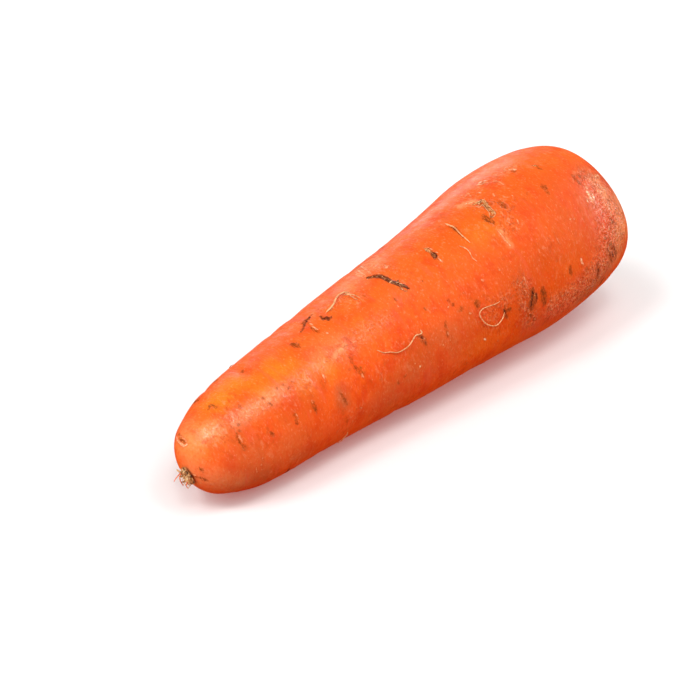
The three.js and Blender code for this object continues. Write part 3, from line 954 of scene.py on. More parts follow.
class Skin:
    """The carrot's skin as a fine grid of rings, with the fields of its marks."""

    def __init__(self, form: RootForm, eye: Eye, ring_count: int, side_count: int) -> None:
        """Lay the grid and centre it where the solid is.

        Args:
            form: The root's sizes.
            eye: Where the camera stands, for marks that are given by image points.
            ring_count: Rings from the tail to the middle of the hollow.
            side_count: Vertices of a ring.
        """
        self.form, self.eye = form, eye
        self.rings, self.sides = ring_count, side_count
        laid = form.rings(ring_count)
        self.station, self.radius = laid[:, :1], laid[:, 1:2]
        self.angle = turns(side_count)[None, :]
        crest = laid[np.argmax(laid[:, 0]), 2]
        self.past_rim = np.repeat(laid[:, 2:] - crest, side_count, axis=1)
        relief = form.relief(self.station, self.angle, self.radius)
        plain = form.surface(self.station, self.angle, self.radius + relief)
        low, high = (np.array(corner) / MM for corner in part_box("taproot"))
        centred = (low + high) / 2 - (plain.min((0, 1)) + plain.max((0, 1))) / 2
        self.shift = np.array([centred[0], centred[1], 0.0])
        self.points = plain + self.shift
        self.normals = self.grid_normals()
        self.faces = grid_faces(ring_count, side_count)
        self.tree = BVHTree.FromPolygons(self.points.reshape(-1, 3).tolist(), self.faces)
        self.fields = {kind.value: np.full(self.points.shape[:2], NO_MARK) for kind in MarkKind}
        self.fields |= {tint.value: np.zeros(self.points.shape[:2]) for tint in Tint}
        self.fields["groove"] = np.zeros(self.points.shape[:2])

    def grid_normals(self) -> np.ndarray:
        """Find which way each vertex of the grid faces.

        Returns:
            The outward directions, of length 1.
        """
        along = np.gradient(self.points, axis=0)
        around = np.roll(self.points, -1, axis=1) - np.roll(self.points, 1, axis=1)
        out = np.cross(around, along)
        out /= np.maximum(np.linalg.norm(out, axis=2, keepdims=True), TINY)
        middle = self.rings // 2
        outward = self.points[middle, 0] - self.points[middle].mean(0)
        return out if np.dot(out[middle, 0], outward) > 0 else -out

    def trace(self, route: Sequence[Pixel], step: float = 2.0) -> np.ndarray:
        """Lay a route of image points on the skin.

        Args:
            route: The image points.
            step: Pixels between two points of the result.

        Returns:
            Points on the skin, in millimetres, one row each.
        """
        pixels = [np.array(route[0])]
        for start, end in zip(route, route[1:]):
            start, end = np.array(start), np.array(end)
            cuts = max(1, round(float(np.linalg.norm(end - start)) / step))
            pixels += [start + (end - start) * (i + 1) / cuts for i in range(cuts)]
        origin = Vector(self.eye.place())
        found = (self.tree.ray_cast(origin, Vector(self.eye.ray(tuple(p))))[0] for p in pixels)
        return np.array([list(hit) for hit in found if hit is not None])

    def near(self, path: np.ndarray, reach: float) -> tuple[tuple, np.ndarray, np.ndarray]:
        """Find the vertices near a path.

        Args:
            path: Points of the path, one row each.
            reach: How near, in millimetres.

        Returns:
            Their index in the grid, their distance, and how far along the path from 0 to 1.
        """
        low, high = path.min(0) - reach, path.max(0) + reach
        index = np.nonzero(((self.points > low) & (self.points < high)).all(2))
        spots = self.points[index]
        nearest, share = np.full(len(spots), np.inf), np.zeros(len(spots))
        last = max(len(path) - 1, 1)
        for i in range(last):
            start, end = path[i], path[min(i + 1, len(path) - 1)]
            way = end - start
            t = np.clip((spots - start) @ way / max(way @ way, TINY), 0, 1)
            distance = np.linalg.norm(spots - start - t[:, None] * way, axis=1)
            closer = distance < nearest
            nearest = np.where(closer, distance, nearest)
            share = np.where(closer, (i + t) / last, share)
        return index, nearest, share

    def draw(self, kind: MarkKind, path: np.ndarray, half_width: float) -> None:
        """Draw a mark into its field: millimetres inside its edge, less than 0 outside.

        Args:
            kind: Which field.
            path: Points of its middle line, one row each.
            half_width: Half its width at its widest.
        """
        index, distance, share = self.near(path, half_width - NO_MARK)
        taper = END_WIDTH + (1 - END_WIDTH) * np.sqrt(np.sin(math.pi * np.clip(share, 0.02, 0.98)))
        layer = self.fields[kind.value]
        layer[index] = np.maximum(layer[index], half_width * taper - distance)

    def blush(self, tint: Tint, path: np.ndarray, reach: float, strength: float) -> None:
        """Lay a soft patch of a tint.

        Args:
            tint: Which tint.
            path: Points of its middle line, one row each.
            reach: The distance at which it has faded out.
            strength: Its strength along the path.
        """
        index, distance, _ = self.near(path, reach)
        layer = self.fields[tint.value]
        laid = np.minimum(strength * smoothstep(reach, 0, distance), 1)
        layer[index] = np.maximum(layer[index], laid)

    def arc(self, station: float, angle: float, length: float, slant: float) -> np.ndarray:
        """Return a short route round the root.

        Args:
            station: Its station.
            angle: The angle of its middle.
            length: Its length in millimetres.
            slant: How far its end lies further along the root, in millimetres.

        Returns:
            Points on the skin, one row each.
        """
        ring = int(np.argmin(np.abs(self.station[:, 0] - station) + (self.past_rim[:, 0] > 0) * 99))
        radius = float(self.radius[ring, 0])
        share = np.linspace(-0.5, 0.5, 7)
        turned = angle + share * length / radius
        return self.form.surface(station + slant * share, turned, np.full(7, radius)) + self.shift

    def seen(self, path: np.ndarray) -> bool:
        """Tell whether a route lies where the camera looks.

        Args:
            path: Points of the route.

        Returns:
            Whether the camera sees its middle.
        """
        hit = self.tree.find_nearest(Vector(path[len(path) // 2]))
        index = np.unravel_index(self.faces[hit[2]][0], self.points.shape[:2])
        to_eye = self.eye.place() - self.points[index]
        return float(np.dot(self.normals[index], to_eye / np.linalg.norm(to_eye))) > GRAZING

    def push(self, height: np.ndarray) -> None:
        """Move each vertex outward by its own height in millimetres."""
        self.points = self.points + self.normals * height[..., None]
        self.points[..., 2] = np.maximum(self.points[..., 2], 0)


# ---------- finishes
class Kind(Enum):
    """A kind of shader node: its type, the output in use, its inputs in order, its settings."""

    SHADER = ("BsdfPrincipled", "BSDF", (), {})
    PLACE = ("TexCoord", "Object", (), {})
    DIRECTION = ("TexCoord", "Generated", (), {})
    MAPPING = ("Mapping", "Vector", ("Vector", "Scale", "Rotation"), {})
    FIELD = ("Attribute", "Fac", (), {})
    CLOUD = ("TexNoise", "Fac", ("Vector", "Scale", "Detail", "Roughness"), {})
    CELLS = ("TexVoronoi", "Color", ("Vector", "Scale"), {})
    RED = ("SeparateColor", "Red", ("Color",), {})
    UPWARD = ("SeparateXYZ", "Z", ("Vector",), {})
    RAMP = (
        "MapRange", "Result", ("Value", "From Min", "From Max", "To Min", "To Max"),
        {"interpolation_type": "SMOOTHSTEP"},
    )
    BLEND = ("Mix", 2, (0, 6, 7), {"data_type": "RGBA"})
    CHOOSE = ("Mix", 0, (0, 2, 3), {"data_type": "FLOAT"})
    ADD = ("Math", 0, (0, 1), {"operation": "ADD"})
    LESS = ("Math", 0, (0, 1), {"operation": "SUBTRACT"})
    TIMES = ("Math", 0, (0, 1), {"operation": "MULTIPLY"})
    TIMES_ADD = ("Math", 0, (0, 1, 2), {"operation": "MULTIPLY_ADD"})
    LARGER = ("Math", 0, (0, 1), {"operation": "MAXIMUM"})
    UNSIGNED = ("Math", 0, (0,), {"operation": "ABSOLUTE"})
    PUSH = ("VectorMath", "Vector", (0, 1, 2), {"operation": "MULTIPLY_ADD"})
    ALIKE = ("VectorMath", "Value", (0, 1), {"operation": "DOT_PRODUCT"})
    BUMP = ("Bump", "Normal", ("Strength", "Distance", "Height"), {})
    CAMERA_RAY = ("LightPath", "Is Camera Ray", (), {})


def feed(tree: bpy.types.NodeTree, socket: Socket, value: Any) -> None:
    """Feed an input socket.

    Args:
        tree: The node tree.
        socket: The input.
        value: Another node's output, or a plain value.
    """
    if isinstance(value, Socket):
        tree.links.new(value, socket)
    else:
        socket.default_value = value


def add_node(tree: bpy.types.NodeTree, kind: Kind, *values: Any, **settings: Any) -> Socket:
    """Add a shader node with its settings and links.

    Args:
        tree: The node tree.
        kind: Which kind of node.
        *values: A value, or another node's output, for each of the kind's inputs in order.
        **settings: The node's own properties, besides those of its kind.

    Returns:
        The output in use.
    """
    name, output, inputs, fixed = kind.value
    made = tree.nodes.new("ShaderNode" + name)
    for key, setting in (fixed | settings).items():
        setattr(made, key, setting)
    for key, value in zip(inputs, values):
        feed(tree, made.inputs[key], value)
    return made.outputs[output]


def per_grain(grain: Grain) -> tuple[float, float, float]:
    """Return the scale at which one grain, along the root and across it, is 1."""
    return (1 / grain[0], 1 / grain[1], 1 / grain[1])


class Recipe:
    """The shader of one finish, with what all finishes share.

    Attributes:
        material: The finish in the making.
        node: Adds a node to it.
        shader: Its principled shader.
        where: Object coordinates in millimetres, with X along the root's axis.
    """

    def __init__(self, name: str, tilt: float) -> None:
        """Start with a bare shader.

        Args:
            name: The material's name.
            tilt: How far the root's axis rises, in radians.
        """
        self.material = bpy.data.materials.new(name)
        self.material.use_nodes = True
        self.tree = self.material.node_tree
        self.tree.nodes.clear()
        self.node = partial(add_node, self.tree)
        surface = self.node(Kind.SHADER)
        self.shader = surface.node
        feed(self.tree, self.tree.nodes.new("ShaderNodeOutputMaterial").inputs["Surface"], surface)
        place = self.node(Kind.PLACE)
        self.where = self.node(Kind.MAPPING, place, (1 / MM,) * 3, (0, tilt, 0))

    def noise(self, grain: Grain, detail: float, where: Socket | None = None) -> Socket:
        """Return clouds from 0 to 1, of a grain's size and with so many finer layers."""
        place = self.node(Kind.MAPPING, where or self.where, per_grain(grain))
        return self.node(Kind.CLOUD, place, 1.0, detail, CLOUD_ROUGHNESS)

    def lay(self, colour: Tone, *layers: tuple[Any, ...]) -> Tone:
        """Lay tones over a colour, one after another.

        Args:
            colour: The colour below.
            *layers: For each its tone and a signal, and the signal's values where the tone
                starts and is full. Where two more numbers follow, they are its least and most
                share.

        Returns:
            The colour on top.
        """
        for tone, signal, *rise in layers:
            shades = [linear(one) if isinstance(one, str) else one for one in (colour, tone)]
            colour = self.node(Kind.BLEND, self.node(Kind.RAMP, signal, *rise), *shades)
        return colour

    def finish(self, inputs: dict[str, Any]) -> Material:
        """Finish the material.

        Args:
            inputs: A value, or a node's output, for inputs of the shader by name.

        Returns:
            The material.
        """
        for name, value in inputs.items():
            feed(self.tree, self.shader.inputs[name], value)
        return self.material


@dataclass(frozen=True)
class RawCarrotSkin:
    """Raw carrot skin, grown in soil and washed.

    Thin moist skin over dense orange flesh: light goes a little way in, the wax leaves a soft
    broken shine, and soil has left fine cross lines, pale flecks and brown specks. Each grain
    is a pattern's size in millimetres, along the root and across it.
    """

    recipe: Recipe
    orange: str = "#F45F10"
    deep: str = "#E4490A"
    light: str = "#FA741C"
    red: str = "#D0500C"
    yellow: str = "#FB8A12"
    pink: str = "#EA6242"
    grey: str = "#B8643C"
    fleck_and_highlight: str = "#FBB080"
    speck_and_shade: str = "#96401A"
    scar_edge: str = "#4A1402"
    scar_brown: str = "#7C3610"
    scar_floor: str = "#A86C46"
    scar_halo: str = "#B85222"
    tan: str = "#E4A468"
    tan_edge: str = "#A8521E"
    stain: str = "#8E3C06"
    scuff: str = "#F4A674"
    crease: str = "#CC4E10"
    peach: str = "#FFA468"
    cream: str = "#FFE4C4"
    # The next two colours: near black inside the crown hollow, dry fibrous tissue with painted
    # shade.
    pit: str = "#2A1710"
    pit_fibre: str = "#6B4426"
    pit_edge: str = "#9A3A18"
    patch_grain: Grain = (30.0, 21.0)
    cloud_grain: Grain = (4.8, 8.0)
    skin_grain: Grain = (0.55, 0.99)
    line_grain: Grain = (0.6, 6.0)
    cluster_grain: Grain = (9.0, 9.0)
    mottle_grain: Grain = (1.5, 2.2)
    pebble_grain: Grain = (0.75, 1.1)
    pore_grain: Grain = (1.1, 1.7)
    pimple_grain: Grain = (0.3, 0.45)
    wax_grain: Grain = (2.2, 3.0)
    bark_grain: Grain = (2.5, 0.5)
    scratch_grain: Grain = (0.3, 1.6)
    crumb_grain: Grain = (0.7, 0.9)
    edge_grain: Grain = (0.32, 0.32)
    coarse_edge_grain: Grain = (0.9, 1.3)
    rim_grain: Grain = (2.4, 2.4)
    stir_grain: Grain = (7.0, 7.0)
    stir_push: float = 9.0
    pale_curl: float = 1.3
    dark_curl: float = 1.7
    fleck_spacing: float = 1.2
    dash_spacing: float = 2.4
    speck_spacing: float = 4.8
    dash_stretch: float = 3.2

    def build(self) -> Material:
        """Make the material.

        Returns:
            The material.
        """
        node, noise = self.recipe.node, self.recipe.noise
        colour, marked = self.marks(self.freckles(self.flesh_colour()))
        uneven = node(Kind.RAMP, noise(self.rim_grain, 4), 0.3, 0.7, -0.9, 0.9)
        past_rim = node(Kind.ADD, node(Kind.FIELD, attribute_name="past_rim"), uneven)
        # Inside the hollow, past its rim, the colour turns near black: dry fibre and painted shade.
        hollow_fibre_and_shade = self.recipe.lay(self.pit, (self.pit_fibre, noise(self.bark_grain, 3), 0.45, 0.7))
        dry = node(Kind.LARGER, marked, node(Kind.RAMP, past_rim, -1.0, 1.0))
        shine = node(Kind.FIELD, attribute_name=Tint.SHINE.value)
        waxed = node(Kind.RAMP, noise(self.wax_grain, 3), 0.3, 0.7, 0.4, 0.62)
        waxed = node(Kind.TIMES_ADD, shine, -0.2, waxed)
        broken = node(Kind.RAMP, self.pebbles(), 0.4, 0.6, 0.35, 1)
        relief = self.relief()
        return self.recipe.finish({
            "Base Color": self.recipe.lay(
                colour, (self.pit_edge, past_rim, -1.8, 0.8, 0, 0.85), (hollow_fibre_and_shade, past_rim, 1.1, 1.8)
            ),
            "Roughness": node(Kind.TIMES_ADD, dry, 0.38, waxed),
            "IOR": 1.42,
            "Specular IOR Level": 0.2,
            "Normal": relief,
            "Subsurface Weight": 0.2,
            "Subsurface Radius": (1.0, 0.28, 0.08),
            "Subsurface Scale": 2.5 * MM,
            "Coat Weight": node(Kind.TIMES, shine, broken),
            "Coat Roughness": 0.26,
            "Coat Normal": relief,
        })

    def flesh_colour(self) -> Tone:
        """Mix the skin's own colour.

        Returns:
            Wide patches, clouds, tints and a fine grain.
        """
        node, noise = self.recipe.node, self.recipe.noise
        clouds, grain = noise(self.cloud_grain, 5), noise(self.skin_grain, 3)
        colour = self.recipe.lay(
            self.deep, (self.orange, clouds, 0.3, 0.55),
            (self.light, noise(self.patch_grain, 2), 0.5, 0.75, 0, 0.6),
        )
        tints = (
            (Tint.YELLOW, self.yellow, 0.6, 1.0), (Tint.PINK, self.pink, 0.3, 0.8),
            (Tint.GREY, self.grey, 0.3, 0.8), (Tint.DEEP, self.red, 0.4, 0.8),
            (Tint.PEACH, self.peach, 0.7, 1.0),
        )
        # Some patches of these tints are painted light: pink, grey and peach along the shoulder's
        # edges are painted sheen, peach on the tail is painted highlight, and deep red on the
        # shoulder and underside is painted shade.
        for tint, tone, least, most in tints:
            patchy = node(Kind.RAMP, clouds, 0.3, 0.65, least, most)
            share = node(Kind.TIMES, node(Kind.FIELD, attribute_name=tint.value), patchy)
            colour = node(Kind.BLEND, share, colour, linear(tone))
        return self.recipe.lay(
            colour, (self.deep, grain, 0.5, 0.3, 0, 0.35), (self.fleck_and_highlight, grain, 0.55, 0.75, 0, 0.3),
            (self.pink, node(Kind.FIELD, attribute_name="groove"), 0.2, 1.0, 0, 0.3),
        )

    def dots(
        self, where: Socket, spacing: float, reach: float, share: float, stretch: float = 1.0
    ) -> Socket:
        """Return scattered dots, or dashes that run round the root.

        Args:
            where: Coordinates in millimetres.
            spacing: Mean distance between dots in millimetres.
            reach: The largest dot's radius as a share of the spacing.
            share: Share of the places that have a dot.
            stretch: A dash's length as a multiple of its width.

        Returns:
            1 inside a dot and 0 outside.
        """
        node = self.recipe.node
        place = node(Kind.MAPPING, where, per_grain((spacing, spacing * stretch)))
        cells = node(Kind.CELLS, place, 1.0)
        size = node(Kind.RAMP, node(Kind.RED, cells), 1 - share, 1, 0, reach)
        inside = node(Kind.LESS, size, cells.node.outputs["Distance"])
        return node(Kind.RAMP, inside, -0.02, 0.05)

    def freckles(self, colour: Tone) -> Tone:
        """Scatter scratches, cross lines, pale flecks and brown specks.

        Args:
            colour: The colour below.

        Returns:
            The new colour.
        """
        node, noise = self.recipe.node, self.recipe.noise
        worn = node(Kind.FIELD, attribute_name=Tint.SCRATCHED.value)
        crowded = node(Kind.RAMP, noise(self.cluster_grain, 2), 0.46, 0.68, 0.12, 1.0)
        crowded = node(Kind.LARGER, crowded, worn)
        stirred, pebbles = self.stirred(), self.pebbles()
        lines, mottle = noise(self.line_grain, 3, stirred), noise(self.mottle_grain, 3)
        # A signal, the values where it starts and is full, worn skin only, tone, share.
        patterns = (
            (mottle, 0.56, 0.7, False, self.fleck_and_highlight, 0.24),
            (mottle, 0.47, 0.33, False, self.crease, 0.65),
            # Pale on the pebbles' crests and dark in their hollows, over the same pebbles that the
            # relief raises: painted highlight and shade on the rubbed skin's bumps.
            (pebbles, 0.54, 0.68, True, self.fleck_and_highlight, 0.55),
            (pebbles, 0.45, 0.32, True, self.speck_and_shade, 0.34),
            (lines, 0.6, 0.76, False, self.fleck_and_highlight, 0.26),
            (lines, 0.4, 0.26, False, self.speck_and_shade, 0.22),
            (lines, 0.53, 0.66, True, self.fleck_and_highlight, 0.28),
            (lines, 0.47, 0.34, True, self.speck_and_shade, 0.18),
        )
        layers = [(node(Kind.RAMP, *pattern[:3]), *pattern[3:]) for pattern in patterns]
        layers += [
            (self.curls(stirred, self.dark_curl), True, self.speck_and_shade, 0.58),
            # Pale on the curls that the relief raises: dry skin, with a painted highlight on it.
            (self.curls(self.recipe.where, self.pale_curl), True, self.fleck_and_highlight, 0.42),
        ]
        scattered = (  # spacing, the largest reach, share of the places, stretch, tone, share
            (self.fleck_spacing, 0.17, 0.2, 1.0, self.fleck_and_highlight, 0.34),
            (self.dash_spacing, 0.1, 0.09, self.dash_stretch, self.fleck_and_highlight, 0.26),
            (self.speck_spacing, 0.06, 0.4, 1.0, self.speck_and_shade, 0.8),
            (self.speck_spacing, 0.05, 0.3, self.dash_stretch, self.stain, 0.75),
        )
        layers += [(self.dots(stirred, *row[:4]), False, *row[4:]) for row in scattered]
        for layer, rubbed, tone, strength in layers:
            if rubbed:
                layer = node(Kind.TIMES, layer, worn)
            shown = node(Kind.TIMES, node(Kind.TIMES, layer, strength), crowded)
            colour = node(Kind.BLEND, shown, colour, linear(tone))
        return colour

    def pebbles(self) -> Socket:
        """Return the small leathery bumps of rubbed skin."""
        return self.recipe.noise(self.pebble_grain, 2)

    def stirred(self) -> Socket:
        """Push coordinates about, so that what is drawn on them isn't in line.

        Returns:
            The coordinates in millimetres.
        """
        place = self.recipe.node(Kind.MAPPING, self.recipe.where, per_grain(self.stir_grain))
        cloud = self.recipe.node(Kind.CLOUD, place, 1.0, 1.0).node
        push = (self.stir_push,) * 3
        return self.recipe.node(Kind.PUSH, cloud.outputs["Color"], push, self.recipe.where)

    def curls(self, where: Socket, size: float) -> Socket:
        """Return short curled lines.

        Args:
            where: Coordinates in millimetres.
            size: A curl's size in millimetres.

        Returns:
            1 on a line and 0 beside it.
        """
        node, gap = self.recipe.node, size * 1.4
        cloud = self.recipe.noise((size, size), 2, where)
        off = node(Kind.UNSIGNED, node(Kind.LESS, cloud, 0.5))
        broken = node(Kind.RAMP, self.recipe.noise((gap, gap), 1, where), 0.5, 0.6)
        return node(Kind.TIMES, node(Kind.RAMP, off, 0.0, 0.035, 1, 0), broken)

    def marks(self, colour: Tone) -> tuple[Tone, Socket]:
        """Lay stains, scuffs, dry skin and scars over the colour.

        Args:
            colour: The colour so far.

        Returns:
            The new colour, and how dry the surface is.
        """
        node, noise = self.recipe.node, self.recipe.noise
        ragged = noise(self.edge_grain, 2)
        fine = node(Kind.RAMP, ragged, 0.25, 0.75, -0.16, 0.16)
        coarse = node(Kind.RAMP, noise(self.coarse_edge_grain, 3), 0.3, 0.7, -0.22, 0.22)
        fray = node(Kind.ADD, fine, coarse)
        scar, tan, stain, scuff = (
            node(Kind.TIMES_ADD, fray, share, node(Kind.FIELD, attribute_name=kind.value))
            for kind, share in ((SCAR, 0.8), (TAN, 1.3), (STAIN, 1.2), (SCUFF, 0.7))
        )
        scratch, crumb = noise(self.scratch_grain, 2), noise(self.crumb_grain, 3)
        patchy = node(
            Kind.TIMES, node(Kind.RAMP, scratch, 0.36, 0.56, 0.45, 1.0),
            node(Kind.RAMP, crumb, 0.34, 0.58, 0.5, 1.0),
        )
        stained = node(Kind.TIMES, node(Kind.RAMP, stain, -0.7, 0.45, 0, 1.15), patchy)
        colour = node(Kind.BLEND, stained, colour, linear(self.stain))
        floor = self.recipe.lay(self.scar_floor, (self.scar_brown, scratch, 0.58, 0.42))
        colour = self.recipe.lay(
            colour, (self.crease, scuff, -0.45, -0.1, 0, 0.5),
            (
                self.recipe.lay(self.scuff, (self.cream, scuff, 0.16, 0.38)),
                scuff, -0.2, 0.28, 0, 0.95,
            ),
            (self.tan_edge, tan, -0.4, -0.02, 0, 0.75),
            (self.recipe.lay(self.tan_edge, (self.tan, ragged, 0.35, 0.6)), tan, 0.0, 0.16),
            (self.scar_halo, scar, -0.6, -0.05, 0, 0.65),
            (self.recipe.lay(
                self.scar_edge, (self.scar_brown, crumb, 0.44, 0.6),
                (floor, scar, 0.16, 0.4, 0, 0.9),
            ), scar, -0.25, 0.12),
        )
        tanned, scarred = node(Kind.RAMP, tan, 0.0, 0.16), node(Kind.RAMP, scar, -0.25, 0.12)
        return colour, node(Kind.LARGER, scarred, node(Kind.LARGER, tanned, stained))

    def relief(self) -> Socket:
        """Press cross lines, pores and grain into the surface.

        Returns:
            The surface direction.
        """
        node, noise = self.recipe.node, self.recipe.noise
        curls = self.curls(self.recipe.where, self.pale_curl)
        rough = node(Kind.TIMES_ADD, self.pebbles(), 1.5, curls)
        worn = node(Kind.TIMES, node(Kind.FIELD, attribute_name=Tint.SCRATCHED.value), rough)
        height = node(Kind.TIMES, noise(self.line_grain, 3), 0.35)
        for part, share in (
            (noise(self.pore_grain, 3), 0.6), (noise(self.pimple_grain, 2), 0.16), (worn, 1.3),
        ):
            height = node(Kind.TIMES_ADD, part, share, height)
        return node(Kind.BUMP, 0.8, 0.5 * MM, height)


@dataclass(frozen=True)
class CutLeafStalk:
    """Cut leaf stalks, dried at the cut.

    Firm fibrous tissue: tan and olive, ochre where it is fresh, and brown in the clefts.
    """

    recipe: Recipe
    tan: str = "#CBA356"
    olive: str = "#94843E"
    ochre: str = "#D8A236"
    cleft: str = "#40260F"
    ring: str = "#9A5622"
    blotch_grain: Grain = (3.5, 3.0)
    fibre_grain: Grain = (5.0, 0.5)

    def build(self) -> Material:
        """Make the material.

        Returns:
            The material.
        """
        node, noise = self.recipe.node, self.recipe.noise
        tone = node(Kind.FIELD, attribute_name="tone")
        blotch, fibre = noise(self.blotch_grain, 3), noise(self.fibre_grain, 3)
        height = node(Kind.TIMES_ADD, fibre, 0.6, node(Kind.TIMES, blotch, 0.4))
        return self.recipe.finish({
            "Base Color": self.recipe.lay(
                self.tan, (self.olive, blotch, 0.4, 0.6), (self.ochre, blotch, 0.6, 0.75, 0, 0.8),
                (self.cleft, fibre, 0.5, 0.3, 0, 0.6), (self.ring, tone, 0.55, 0.95, 0, 0.85),
                (self.cleft, tone, 0.35, 0.05),
            ),
            "Roughness": 0.72,
            "Subsurface Weight": 0.08,
            "Subsurface Scale": 1.5 * MM,
            "Normal": node(Kind.BUMP, 0.7, 0.5 * MM, height),
        })


@dataclass(frozen=True)
class DriedFibre:
    """Dried plant fibre, such as old leaf bases and broken rootlets.

    Matt and fibrous: each thread has its own tone, from near black to straw.
    """

    recipe: Recipe
    dark: str
    middle: str
    pale: str
    roughness: float = 0.85
    blotch_grain: Grain = (0.9, 0.9)

    def build(self) -> Material:
        """Make the material.

        Returns:
            The material.
        """
        node, blotch = self.recipe.node, self.recipe.noise(self.blotch_grain, 3)
        uneven = node(Kind.RAMP, blotch, 0.3, 0.7, -0.14, 0.14)
        shade = node(Kind.ADD, node(Kind.FIELD, attribute_name="tone"), uneven)
        return self.recipe.finish({
            "Base Color": self.recipe.lay(
                self.dark, (self.middle, shade, 0.0, 0.5), (self.pale, shade, 0.5, 1.0)
            ),
            "Roughness": self.roughness,
            "Normal": node(Kind.BUMP, 0.5, 0.2 * MM, blotch),
        })


@dataclass(frozen=True)
class PaintedBoard:
    """A matt white painted board: an even pale ground with no pattern to the eye."""

    recipe: Recipe
    white: str = "#F4F3F2"
    roughness: float = 0.8

    def build(self) -> Material:
        """Make the material."""
        return self.recipe.finish({"Base Color": linear(self.white), "Roughness": self.roughness})


# ---------- pieces
@dataclass
class Taproot:
    """The swollen root: its skin, shoulder, crown rim and hollow."""

    form: RootForm
    eye: Eye
    ring_count: int = 400  # rings of the fine skin
    side_count: int = 238  # vertices of a ring
    fine_creases: int = 170  # narrow creases round the root
    fine_stations: Span = (8.0, 168.5)  # first and last station of one
    fine_margin: float = 4.0  # how far before the rim's crest they end
    fine_half_width: Span = (0.5, 1.0)  # their least and most half width
    fine_depth: Span = (0.04, 0.13)  # their least and most depth
    fine_half_length: Span = (3.0, 13.0)  # their least and most half length
    seeded_lenticels: int = 46  # cross marks on the sides that the camera doesn't see
    seeded_spots: int = 70  # spots on those sides
    seeded_scuffs: int = 34  # scratches on those sides
    seeded_stations: Span = (5.0, 166.5)  # first and last station of those
    scar_depth: float = 0.32  # how deep a scar is sunk
    lip_height: float = 0.12  # how high the skin stands round a scar
    flap_height: float = 0.16  # how high dry skin stands
    scuff_height: float = 0.09  # how high a scratch's fibres stand
    seed: int = 17
    skin: Skin = field(init=False)

    def __post_init__(self) -> None:
        """Lay the skin's grid."""
        self.skin = Skin(self.form, self.eye, self.ring_count, self.side_count)

    def grow_creases(self) -> None:
        """Press narrow creases into the skin."""
        source = Seeded(self.seed)
        skin = self.skin
        outside = np.where(skin.past_rim < -self.fine_margin, 1.0, 0.0)
        total = np.zeros(skin.past_rim.shape)
        for _ in range(self.fine_creases):
            place = source.between(*self.fine_stations)
            middle = source.between(0, 2 * math.pi)
            half_width = source.between(*self.fine_half_width)
            depth = source.between(*self.fine_depth)
            half_length = source.between(*self.fine_half_length)
            total += depth * crease_share(
                skin.station, skin.angle, skin.radius, place, middle, half_width, half_length
            )
        skin.fields["groove"] = total * outside / self.fine_depth[1]
        skin.push(-total * outside)

    def draw_marks(self) -> None:
        """Draw the marks that have a known place, then the seeded ones."""
        skin = self.skin
        for name, mark in MARKS.items():
            path = skin.trace(mark.route)
            if len(path) < 2:
                LOG.warning("%s misses the skin", name)
                continue
            skin.draw(mark.kind, path, mark.half_width)
        for patch in BLUSHES:
            path = skin.trace(patch.route, 3 if patch.reach < 3 else 6)
            skin.blush(patch.tint, path, patch.reach, patch.strength)
        source = Seeded(self.seed + 1)
        for i in range(self.seeded_lenticels + self.seeded_spots + self.seeded_scuffs):
            station, angle = source.between(*self.seeded_stations), source.between(0, 2 * math.pi)
            size, chance, slant = source.next(), source.next(), source.between(-1, 1)
            if i < self.seeded_lenticels:
                kind = SCAR if chance < 0.4 else STAIN
                length, half = 2 + 6 * size, 0.3 + 0.35 * chance
            elif i < self.seeded_lenticels + self.seeded_spots:
                kind = TAN if chance < 0.25 else STAIN
                length, half = 0.6 + size, 0.2 + 0.25 * size
            else:
                kind, length, half = SCUFF, 2 + 8 * size, 0.12 + 0.12 * chance
            path = skin.arc(station, angle, length, slant)
            if not skin.seen(path):
                skin.draw(kind, path, half)

    def press_marks(self) -> None:
        """Sink the scars between raised edges, and raise the dry skin."""
        scar, tan, scuff = (self.skin.fields[kind.value] for kind in (SCAR, TAN, SCUFF))
        height = -self.scar_depth * smoothstep(0.0, 0.45, scar)
        height += self.lip_height * np.exp(-((scar + 0.25) / 0.22) ** 2)
        height += self.flap_height * smoothstep(-0.15, 0.25, tan)
        height += self.scuff_height * smoothstep(-0.2, 0.1, scuff)
        self.skin.push(height)

    def build(self, material: Material) -> None:
        """Make the root's piece, which stands for the solid.

        Args:
            material: Its finish.
        """
        self.grow_creases()
        self.draw_marks()
        self.press_marks()
        skin = self.skin
        zero = np.zeros(2)
        ends = self.form.surface(np.array([0.0, self.form.floor]), zero, zero) + skin.shift
        points = np.vstack([skin.points.reshape(-1, 3), ends])
        count, sides = skin.rings * skin.sides, skin.sides
        faces = list(skin.faces)
        for side in range(sides):
            beside = (side + 1) % sides
            faces.append((count, beside, side))
            faces.append((count + 1, count - sides + side, count - sides + beside))
        attributes = {
            name: np.append(layer.ravel(), (layer[0, 0], layer[-1, 0]))
            for name, layer in (skin.fields | {"past_rim": skin.past_rim}).items()
        }
        piece = add_piece("carrot_root", points, faces, material, attributes)
        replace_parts(piece, "taproot")


